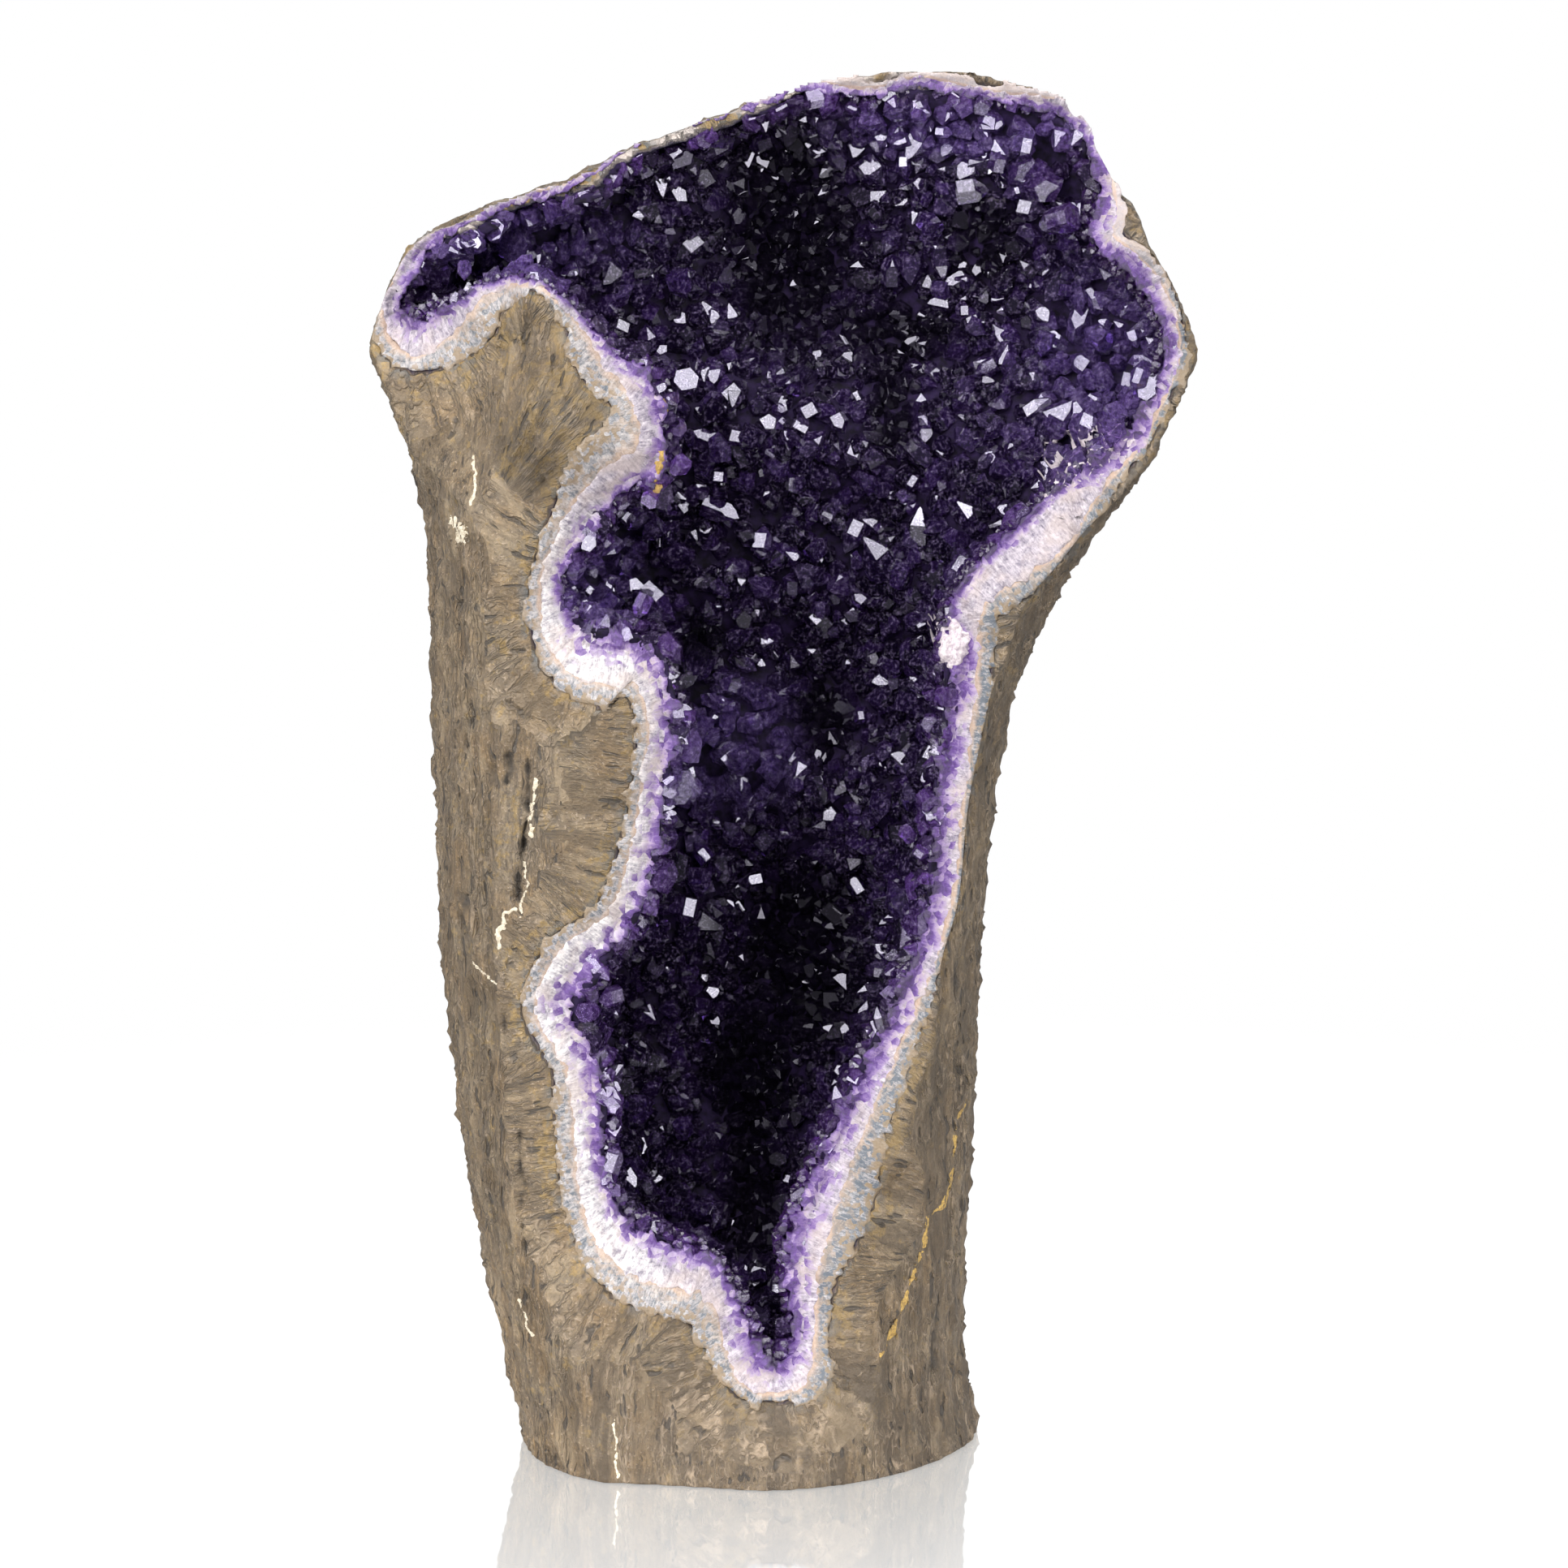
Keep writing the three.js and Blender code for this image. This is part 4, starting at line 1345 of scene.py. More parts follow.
CUTS_BETWEEN_PIECES = [0, 215, 360, 460, 700]
names = ["amethyst_points_foot", "amethyst_points_waist", "amethyst_points_chest", "amethyst_points_head"]
amethyst_pieces = []
for k, name in enumerate(names):
    low, high = CUTS_BETWEEN_PIECES[k : k + 2]
    here = (bed_tips[:, 2] >= low) & (bed_tips[:, 2] < high)
    amethyst_pieces.append(crystal_piece(name, bed_crystals, here, 100 + k))
everyone = np.full(len(rim_tips), True)
amethyst_pieces.append(crystal_piece("amethyst_rim_points", rim_crystals, everyone, 200))
print("triangles:", [len(piece.data.polygons) for piece in amethyst_pieces])

# %% [markdown]
# Veins, crusts and specks
#
# Later minerals filled cracks and settled on the crystals: cream calcite and yellow clay. They are too
# fine for the husk's mesh and too sharp for a noise texture. So each is a thin closed plate on a fine
# grid of its own, drawn along listed points. A ray from the front finds the depth of the surface
# that the plate lies on, and a little noise frays its edge.

# %% Thin fillings laid on a surface
FILL_STEP = 0.7
FILL_MARGIN = 6.0
IN_FRONT = -300


def surface_tree(points, faces):
    """A search tree over a surface in millimetres."""
    return BVHTree.FromPolygons(points.tolist(), faces.tolist())


def depth_at(tree, x, z, wanted):
    """Depth of the surface seen from the front, where wanted, and its mean elsewhere."""
    depth = np.full(x.shape, np.nan)
    for i, j in zip(*np.nonzero(wanted)):
        hit = tree.ray_cast(Vector((x[i, j], IN_FRONT, z[i, j])), Vector((0, 1, 0)))[0]
        if hit is not None:
            depth[i, j] = hit.y
    return np.where(np.isnan(depth), np.nanmean(depth), depth)


def filling(tree, reach_of, spots, proud, thickness, softening=0):
    """Points and faces of a plate on a surface, standing proud of it. reach_of gives how far points lie
    inside its outline, and softening is how often the depths are evened out."""
    low, high = np.min(spots, 0) - FILL_MARGIN, np.max(spots, 0) + FILL_MARGIN
    x, z = np.meshgrid(*[np.arange(a, b, FILL_STEP) for a, b in zip(low, high)], indexing="ij")
    region = reach_of(x, z)
    depth = depth_at(tree, x, z, region > -2)
    for _ in range(softening):
        depth = sum(np.roll(depth, move, axis) for axis in (0, 1) for move in (-1, 1)) / 4
    return closed_plate(region, depth - proud, thickness, x, z, FILL_STEP, rounding=proud + 0.3)[:2]


def grid_points(x, z):
    """A grid of the front view as a list of points."""
    return np.stack([x.ravel(), z.ravel(), 0 * x.ravel()], 1)


def grid_swell(x, z, size, seed):
    """Noise on a grid of the front view."""
    return swell(grid_points(x, z), [size, size, 1], seed).reshape(x.shape)


def join_parts(parts):
    """One list of points and one of faces from several."""
    starts = np.cumsum([0] + [len(points) for points, _ in parts[:-1]])
    return (
        np.concatenate([points for points, _ in parts]),
        np.concatenate([faces + start for (_, faces), start in zip(parts, starts)]),
    )


print("fillings on a grid of", FILL_STEP, "mm")

# %% Cream veins and the ochre vein in the basalt
# Each vein: half its width, and its points across and up
CREAM_VEINS = [
    (1.1, [(-113, 325), (-114, 316), (-115, 308), (-115, 299)]),
    (0.9, [(-118, 287), (-118, 281), (-117, 277), (-119, 270), (-120, 262)]),
    (1.3, [(-123, 265), (-127, 264), (-127, 259), (-130, 255), (-130, 248)]),
    (1.1, [(-141, 470), (-140, 464), (-140, 455), (-142, 449)]),
    (2.4, [(-150, 441), (-146, 439), (-147, 433)]),
    (1.0, [(-143, 238), (-138, 234), (-131, 231)]),
    (1.0, [(-122, 80), (-119, 72), (-116, 65)]),
    (0.9, [(-78, 30), (-77, 14), (-76, 4)]),
]
OCHRE_VEINS = [
    (1.0, [(86, 163), (80, 157), (79, 138), (75, 119), (67, 117), (65, 103), (54, 76), (45, 57)]),
]
VEIN_PROUD = 0.25
VEIN_THICKNESS = 1.2


def vein(tree, half_width, path, patchy):
    """A vein along a path, narrower and wider by turns, and broken where patchy is large."""
    def reach_of(x, z):
        wander = 1.2 * grid_swell(x, z, 5, 301)
        ragged = 0.9 * grid_swell(x, z, 1.8, 302) + patchy * grid_swell(x, z, 7, 303)
        return half_width * (1 + ragged) - distance_to_path(x + wander, z + wander, path)

    return filling(tree, reach_of, path, VEIN_PROUD, VEIN_THICKNESS)


def vein_piece(name, veins, patchy):
    """One mesh object from a list of veins in the rock."""
    return make_piece(name, *join_parts([vein(rock_tree, width, path, patchy) for width, path in veins]))


rock_tree = surface_tree(rock_points, rock_faces)
cream_veins = vein_piece("calcite_veins", CREAM_VEINS, 0.5)
ochre_vein = vein_piece("ochre_vein", OCHRE_VEINS, 1.6)
print("veins:", count_triangles(cream_veins), "and", count_triangles(ochre_vein), "triangles")

# %% [markdown]
# A net of cream threads lies over the crystals at the right edge. The borders between cells are such a
# net. The gap between the nearest and the second seed is zero on a border, and divided by its slope it
# is the distance from the border, which gives every thread the same width. Beside the net there is one
# crumbly white patch, and four crumbs of clay sit at the left edge.

# %% The web, the calcite patch and the clay specks on the crystals
WEB = ((146, 456), (27, 26))
WEB_CELL = 6.5
THREAD_WIDTH = 0.7
PATCH = ((77, 381), (8, 12))
SPECKS = [(-52.5, 495.4), (-54.7, 471.6), (-56.2, 466.9), (-57.7, 458.4)]
SPECK_RADIUS = 2.2


def inside_ellipse(x, z, place, radii):
    """1 at the centre of an ellipse and 0 on its edge."""
    return 1 - np.hypot((x - place[0]) / radii[0], (z - place[1]) / radii[1])


def reach_of_web(x, z):
    """Inside distance of a net of thin threads within an ellipse."""
    points = grid_points(x, z)
    first, second = cells(points + 1.5 * swell(points, [4, 4, 1], 312)[:, None], [WEB_CELL] * 3, 311)[:2]
    gap = (second - first).reshape(x.shape)
    slope = np.hypot(*np.gradient(gap, FILL_STEP))
    slope = np.max([np.roll(slope, step, (0, 1)) for step in itertools.product((-1, 0, 1), repeat=2)], 0)
    thread = THREAD_WIDTH / 2 - gap / np.maximum(slope, 0.03)
    face = face_depth(x, z, measure_mouth(x, z)[0])
    within_skin = inside_outline(SKIN_LEVELS, x, face, z) - SKIN_INSET - 3
    within_web = 14 * inside_ellipse(x, z, *WEB) + 2.5 * grid_swell(x, z, 5, 313)
    return np.minimum(thread, np.minimum(within_web, within_skin))


def reach_of_patch(x, z):
    """Inside distance of a crumbly patch."""
    crumbs = 2.6 * grid_swell(x, z, 4, 321) + 1.2 * grid_swell(x, z, 1.8, 322)
    return 6 * inside_ellipse(x, z, *PATCH) + crumbs


def box_of(place, radii):
    """Two corners of the box around an ellipse."""
    return [np.subtract(place, radii), np.add(place, radii)]


def speck(tree, place):
    """A crumb of yellow clay."""
    def reach_of(x, z):
        ragged = SPECK_RADIUS + 0.9 * grid_swell(x, z, 2, 331)
        return ragged - np.hypot(x - place[0], (z - place[1]) / 1.6)

    return filling(tree, reach_of, [place], proud=2.0, thickness=3.0, softening=2)


bed_corner = bed_crystals[0][bed_crystals[1][:, 0]]
near_web = (bed_corner[:, 0] > 40) & (np.abs(bed_corner[:, 2] - 440) < 90)
crystal_ground = [quartz_surface, rim_crystals[:2], (bed_crystals[0], bed_crystals[1][near_web])]
crystal_tree = surface_tree(*join_parts(crystal_ground))
crusts = [
    filling(crystal_tree, reach_of_web, box_of(*WEB), proud=0.8, thickness=2.0, softening=2),
    filling(crystal_tree, reach_of_patch, box_of(*PATCH), proud=2.4, thickness=4.0, softening=4),
]
calcite_crust = make_piece("calcite_crust", *join_parts(crusts))
clay_specks = make_piece("clay_specks", *join_parts([speck(crystal_tree, place) for place in SPECKS]))
print("crust and specks:", count_triangles(calcite_crust), "and", count_triangles(clay_specks), "triangles")

# %% [markdown]
# Materials
#
# Every finish below is built from shader nodes. One helper adds a node, sets it up and links it, which
# keeps each material readable as a list of steps. Patterns are sized in millimetres: a texture's scale
# is the number of features in a metre.

# %% The node helper
def add_node(tree, kind, inputs=None, out=0, **settings):
    """Add a shader node with its settings, values and links, and give back one of its outputs."""
    node = tree.nodes.new("ShaderNode" + kind)
    for key, value in settings.items():
        setattr(node, key, value)
    for key, value in (inputs or {}).items():
        if isinstance(value, bpy.types.NodeSocket):
            tree.links.new(value, node.inputs[key])
        else:
            node.inputs[key].default_value = value
    return node.outputs[out]


def per_metre(size_mm):
    """Texture scale for features of a size in millimetres."""
    return 1000 / size_mm


def new_material(name):
    """A material with an empty node tree, and the inputs of its output node."""
    material = bpy.data.materials.new(name)
    material.use_nodes = True
    tree = material.node_tree
    tree.nodes.clear()
    return material, tree, tree.nodes.new("ShaderNodeOutputMaterial").inputs


def lay_colours(tree, base, layers):
    """A base colour with others laid over it. Each layer: the pattern that places it, the pattern's
    values where the layer starts and where it is full, how much it covers there, and its colour."""
    for pattern, start, full, cover, hex_value in layers:
        share = add_node(tree, "MapRange", {0: pattern, 1: start, 2: full, 4: cover})
        base = add_node(tree, "Mix", {0: share, 6: base, 7: colour(hex_value)}, out=2, data_type="RGBA")
    return base


print("a 4 mm pattern has scale", per_metre(4))

# %% [markdown]
# Basalt, weathered and pecked. It is a fine-grained lava, brown because its iron has rusted. The
# chisel left upright fibres: a net of thin pale bruises 3 to 6 mm apart, dark slits between them, and
# smooth patches where the tool slipped. On the dressed face the same strokes run away from the mouth.
# We stretch every pattern along the stroke, upright outside and along the distance from the mouth on
# the face. Earth stains the hollows between the bruises. The foot, the right side and a little of the
# lobe are painted darker, as painted shade, and so are the slits, cracks, pits and low relief. It has
# no gloss, but the bruised ridges catch a little light.

# %% Weathered basalt: coordinates that follow the chisel
basalt, tree, ends = new_material("weathered basalt")
STROKE_STRETCH = 5
place = add_node(tree, "TexCoord", out="Object")
run, beyond, dressed, groove, lobe, relief_for_pit_shade, lining, crusted, fan_across, fan_along = (
    add_node(tree, "Attribute", out="Fac", attribute_name=name)
    for name in (
        "run", "beyond", "dressed", "groove", "lobe", "relief", "lining", "crusted",
        "fan_across", "fan_along",
    )
)
clouds = add_node(tree, "TexNoise", {"Vector": place, "Scale": per_metre(24), "Detail": 4.0})
upright = add_node(tree, "Mapping", {"Vector": place, "Scale": (1, 1, 1 / STROKE_STRETCH)})
on_face = add_node(tree, "Math", {0: dressed, 1: 0.5}, operation="GREATER_THAN")
strip_width = add_node(tree, "Math", {0: clouds, 1: 60.0, 2: -2.0}, operation="MULTIPLY_ADD")
strip = add_node(tree, "Math", {0: beyond, 1: strip_width}, operation="LESS_THAN")
strip = add_node(tree, "Math", {0: strip, 1: on_face}, operation="MULTIPLY")
in_fan = add_node(tree, "Math", {0: lobe, 1: 0.5}, operation="GREATER_THAN")
stroke = upright
for chosen, sideways, lengthwise in ((strip, run, beyond), (in_fan, fan_across, fan_along)):
    flow = add_node(tree, "CombineXYZ", {0: sideways, 1: lengthwise})
    flow = add_node(tree, "Mapping", {"Vector": flow, "Scale": (MM, MM / STROKE_STRETCH, MM)})
    stroke = add_node(tree, "Mix", {0: chosen, 4: stroke, 5: flow}, out=1, data_type="VECTOR")
bend = add_node(tree, "TexNoise", {"Vector": place, "Scale": per_metre(13), "Detail": 3.0}, out="Color")
bend = add_node(tree, "VectorMath", {0: bend, 1: (0.5, 0.5, 0.5)}, operation="SUBTRACT")
bend = add_node(tree, "VectorMath", {0: bend, "Scale": 4 * MM}, operation="SCALE")
wavy = add_node(tree, "VectorMath", {0: stroke, 1: bend}, operation="ADD")
print("patterns are %d times longer along the stroke" % STROKE_STRETCH)

# %% Weathered basalt: bruises, slits and flecks
lines = []
for width, offset in ((4.2, 0.0), (2.8, 3.0), (6.5, 7.0)):
    spot = add_node(tree, "VectorMath", {0: wavy, 1: (offset, 0, 0)}, operation="ADD")
    level = add_node(tree, "TexNoise", {"Vector": spot, "Scale": per_metre(width), "Detail": 1.5})
    level = add_node(tree, "Math", {0: level, 1: 0.5}, operation="SUBTRACT")
    level = add_node(tree, "Math", {0: level}, operation="ABSOLUTE")
    lines.append(add_node(tree, "MapRange", {0: level, 1: 0.0, 2: 0.03, 3: 1.0, 4: 0.0}))
line = add_node(tree, "Math", {0: lines[0], 1: lines[1]}, operation="MAXIMUM")
line = add_node(tree, "Math", {0: line, 1: lines[2]}, operation="MAXIMUM")
smooth_patch = add_node(tree, "TexNoise", {"Vector": upright, "Scale": per_metre(11), "Detail": 2.0})
worked = add_node(tree, "MapRange", {0: smooth_patch, 1: 0.42, 2: 0.6})
line = add_node(tree, "Math", {0: line, 1: worked}, operation="MULTIPLY")
streak = add_node(
    tree, "TexNoise", {"Vector": wavy, "Scale": per_metre(1.5), "Detail": 5.0, "Roughness": 0.7}
)
slit = add_node(tree, "TexNoise", {"Vector": wavy, "Scale": per_metre(3.0), "Detail": 1.0})
slit = add_node(tree, "MapRange", {0: slit, 1: 0.64, 2: 0.7})
fleck = add_node(tree, "TexNoise", {"Vector": place, "Scale": per_metre(1.5), "Detail": 2.0})
# Painted shade: the cracks, pits and slits are painted nearly black.
crevice_shade = add_node(tree, "MapRange", {0: groove, 1: 0.8, 2: 3.0})
crevice_shade = add_node(tree, "Math", {0: crevice_shade, 1: slit}, operation="MAXIMUM")
print("nets of bruises:", len(lines))

# %% Weathered basalt: rust, bits of agate, and the crust at the top edge
rust = add_node(tree, "TexNoise", {"Vector": place, "Scale": per_metre(5), "Detail": 4.0, "Roughness": 0.7})
beside = add_node(tree, "MapRange", {0: beyond, 1: 14.0, 2: -1.0})
for source, weight in ((beside, 0.16), (lobe, 0.1), (clouds, 0.5)):
    rust = add_node(tree, "Math", {0: source, 1: weight, 2: rust}, operation="MULTIPLY_ADD")
agate_block = add_node(tree, "TexVoronoi", {"Vector": place, "Scale": per_metre(4.5)}, out="Color")
agate_block = add_node(tree, "MapRange", {0: agate_block, 1: 0.6, 2: 0.64, 4: 0.8})
close_beside = add_node(tree, "MapRange", {0: beyond, 1: 5.0, 2: -1.0})
agate_block = add_node(tree, "Math", {0: close_beside, 1: agate_block}, operation="MULTIPLY")
ragged = add_node(tree, "MapRange", {0: clouds, 1: 0.6, 2: 0.5, 4: 0.85})
crusted = add_node(tree, "Math", {0: crusted, 1: ragged}, operation="MULTIPLY")
print("nodes with rust, agate and crust:", len(tree.nodes))

# %% Weathered basalt: painted shade on the foot and the right side
from_middle = add_node(tree, "SeparateXYZ", {0: place}, out="X")
height_up = add_node(tree, "SeparateXYZ", {0: place}, out="Z")
# Painted shade: the foot and the right side are painted darker, and a little of the lobe too; a mottled part
# is darker still, and the bruise lines stay paler in it.
foot = add_node(tree, "MapRange", {0: height_up, 1: 95 * MM, 2: 40 * MM, 4: 0.42})
foot_side = add_node(tree, "MapRange", {0: from_middle, 1: -105 * MM, 2: -80 * MM})
foot = add_node(tree, "Math", {0: foot, 1: foot_side}, operation="MULTIPLY")
right_side = add_node(tree, "MapRange", {0: from_middle, 1: 35 * MM, 2: 70 * MM, 4: 0.34})
painted_shade = add_node(tree, "Math", {0: foot, 1: right_side}, operation="MAXIMUM")
painted_shade = add_node(tree, "Math", {0: lobe, 1: 0.2, 2: painted_shade}, operation="MULTIPLY_ADD")
earthy = add_node(tree, "TexNoise", {"Vector": wavy, "Scale": per_metre(10), "Detail": 5.0, "Roughness": 0.6})
mottled_painted_shade = add_node(tree, "MapRange", {0: earthy, 1: 0.48, 2: 0.58, 4: 1.5})
mottled_painted_shade = add_node(tree, "Math", {0: mottled_painted_shade, 1: painted_shade}, operation="MULTIPLY")
bruised = add_node(tree, "Math", {0: line, 1: 1.7}, operation="MULTIPLY")
bruised = add_node(tree, "Math", {0: bruised, 1: painted_shade}, operation="MULTIPLY")
print("nodes with the dull foot and side:", len(tree.nodes))

# %% Weathered basalt: colours
warm = lay_colours(tree, colour("#40301b"), [(streak, 0.34, 0.66, 1.0, "#8b7049")])
grey = lay_colours(tree, colour("#41362a"), [(streak, 0.34, 0.66, 1.0, "#87755a")])
cloud_share = add_node(tree, "MapRange", {0: clouds, 1: 0.36, 2: 0.62})
rock = add_node(tree, "Mix", {0: cloud_share, 6: warm, 7: grey}, out=2, data_type="RGBA")
rock = lay_colours(tree, rock, [
    (fleck, 0.62, 0.70, 0.6, "#b19c84"),
    (fleck, 0.38, 0.30, 0.6, "#463a2d"),
    (line, 0.0, 1.0, 0.6, "#9e8a72"),
    (earthy, 0.50, 0.60, 0.65, "#524128"),
    (earthy, 0.46, 0.37, 0.6, "#917e62"),
    # painted shade: the low parts of the relief are darkened
    (relief_for_pit_shade, -0.8, -3.6, 0.65, "#463721"),
    (rust, 0.85, 0.97, 0.55, "#97793a"),
    (agate_block, 0.0, 1.0, 1.0, "#565b5e"),
    # painted shade on the foot, the right side and the lobe, then its mottled darker part
    (painted_shade, 0.0, 1.0, 1.0, "#453622"),
    (mottled_painted_shade, 0.0, 1.0, 1.0, "#3a2c19"),
    (bruised, 0.0, 1.0, 1.0, "#a8937a"),
    (crusted, 0.0, 1.0, 1.0, "#cdc0b9"),
    # painted shade in the cracks, pits and slits
    (crevice_shade, 0.0, 1.0, 0.85, "#2a2117"),
    (lining, 0.0, 1.0, 1.0, "#2a1c3b"),
])

height = line
for source, weight in ((streak, 1.2), (fleck, 0.7), (slit, -1.4)):
    height = add_node(tree, "Math", {0: source, 1: weight, 2: height}, operation="MULTIPLY_ADD")
bump = add_node(tree, "Bump", {"Height": height, "Distance": 1.3 * MM, "Strength": 1.0})
gloss = add_node(tree, "MapRange", {0: streak, 3: 0.85, 4: 0.5})
shader = add_node(
    tree, "BsdfPrincipled", {"Base Color": rock, "Roughness": gloss, "IOR": 1.5, "Normal": bump}
)
tree.links.new(shader, ends["Surface"])
husk.data.materials.append(basalt)
print("basalt nodes:", len(tree.nodes))

# %% [markdown]
# Chalcedony, sawn. It is quartz in grains too small to see, mixed here with bits of basalt and clay.
# The saw left it matt. The eye sees a patchwork of blue-grey, white and tan, each patch 1 to 3 mm, with
# fine fibres that run out from the mouth. A thin, broken peach line shows where the white quartz
# starts, and at the top of the stone the band is whiter.

# %% Sawn chalcedony
agate, tree, ends = new_material("sawn chalcedony")
place = add_node(tree, "TexCoord", out="Object")
run, across, outwards = (
    add_node(tree, "Attribute", out="Fac", attribute_name=name)
    for name in ("run", "across", "beyond")
)
bend = add_node(tree, "TexNoise", {"Vector": place, "Scale": per_metre(3), "Detail": 2.0}, out="Color")
bend = add_node(tree, "VectorMath", {0: bend, "Scale": 3 * MM}, operation="SCALE")
bent = add_node(tree, "VectorMath", {0: place, 1: bend}, operation="ADD")
grain = add_node(tree, "TexVoronoi", {"Vector": bent, "Scale": per_metre(2.4)}, out="Color")
grain, kind = (add_node(tree, "SeparateXYZ", {0: grain}, out=axis) for axis in "XY")
fine = add_node(tree, "TexNoise", {"Vector": place, "Scale": per_metre(1.2), "Detail": 3.0, "Roughness": 0.7})
drift = add_node(tree, "TexNoise", {"Vector": place, "Scale": per_metre(8), "Detail": 3.0})
needle_place = add_node(tree, "CombineXYZ", {0: run, 1: outwards})
needle_place = add_node(tree, "Mapping", {"Vector": needle_place, "Scale": (0.9, 0.22, 1)})
needle = add_node(tree, "TexNoise", {"Vector": needle_place, "Scale": 1.0, "Detail": 4.0, "Roughness": 0.7})

# Painted shade: the tone falls towards the right side of the band, so that side is painted darker.
side = add_node(tree, "SeparateXYZ", {0: place}, out="X")
side = add_node(tree, "MapRange", {0: side, 1: -60 * MM, 2: 20 * MM, 4: -0.3})
height_up = add_node(tree, "SeparateXYZ", {0: place}, out="Z")
tone = fine
for source, weight in ((grain, 0.4), (needle, 2.3), (side, 1.0)):
    tone = add_node(tree, "Math", {0: source, 1: weight, 2: tone}, operation="MULTIPLY_ADD")
tan_share = add_node(tree, "Math", {0: drift, 1: 1.4, 2: kind}, operation="MULTIPLY_ADD")
peach = add_node(tree, "Math", {0: drift, 1: 0.9, 2: across}, operation="MULTIPLY_ADD")
earth = add_node(tree, "Math", {0: kind, 1: 0.7, 2: peach}, operation="MULTIPLY_ADD")
stone = lay_colours(tree, colour("#4a525c"), [
    (tone, 1.45, 2.3, 1.0, "#bdb5b3"),
    (tan_share, 1.15, 1.5, 0.5, "#a0866b"),
    (fine, 0.4, 0.3, 0.6, "#474b50"),
    (earth, 1.4, 1.7, 0.8, "#7a6442"),
    (height_up, 535 * MM, 575 * MM, 0.65, "#cfc0bf"),
    (peach, 0.62, 0.36, 0.5, "#cfac90"),
])
height = add_node(tree, "Math", {0: fine, 1: 1.0, 2: grain}, operation="MULTIPLY_ADD")
bump = add_node(tree, "Bump", {"Height": height, "Distance": 0.7 * MM, "Strength": 1.0})
shader = add_node(
    tree, "BsdfPrincipled", {"Base Color": stone, "Roughness": 0.5, "IOR": 1.54, "Normal": bump}
)
tree.links.new(shader, ends["Surface"])
band.data.materials.append(agate)
print("chalcedony nodes:", len(tree.nodes))

# %% [markdown]
# White quartz, sawn. Countless thin prisms with tiny gaps between them scatter the light, so clear
# quartz looks white, like crushed ice. Towards the hollow the prisms are sound and carry the violet
# colour, so white turns to lavender and then to purple, prism by prism. The lower left of the band gets
# less light from the lamps, so it is painted whiter, as painted light.

# %% Quartz from its white roots to its violet points
# Patterns along the edge of the mouth and across it, in repeats per millimetre
THREADS = (0.75, 0.13, 1)
CLUMPS = (0.2, 0.09, 1)


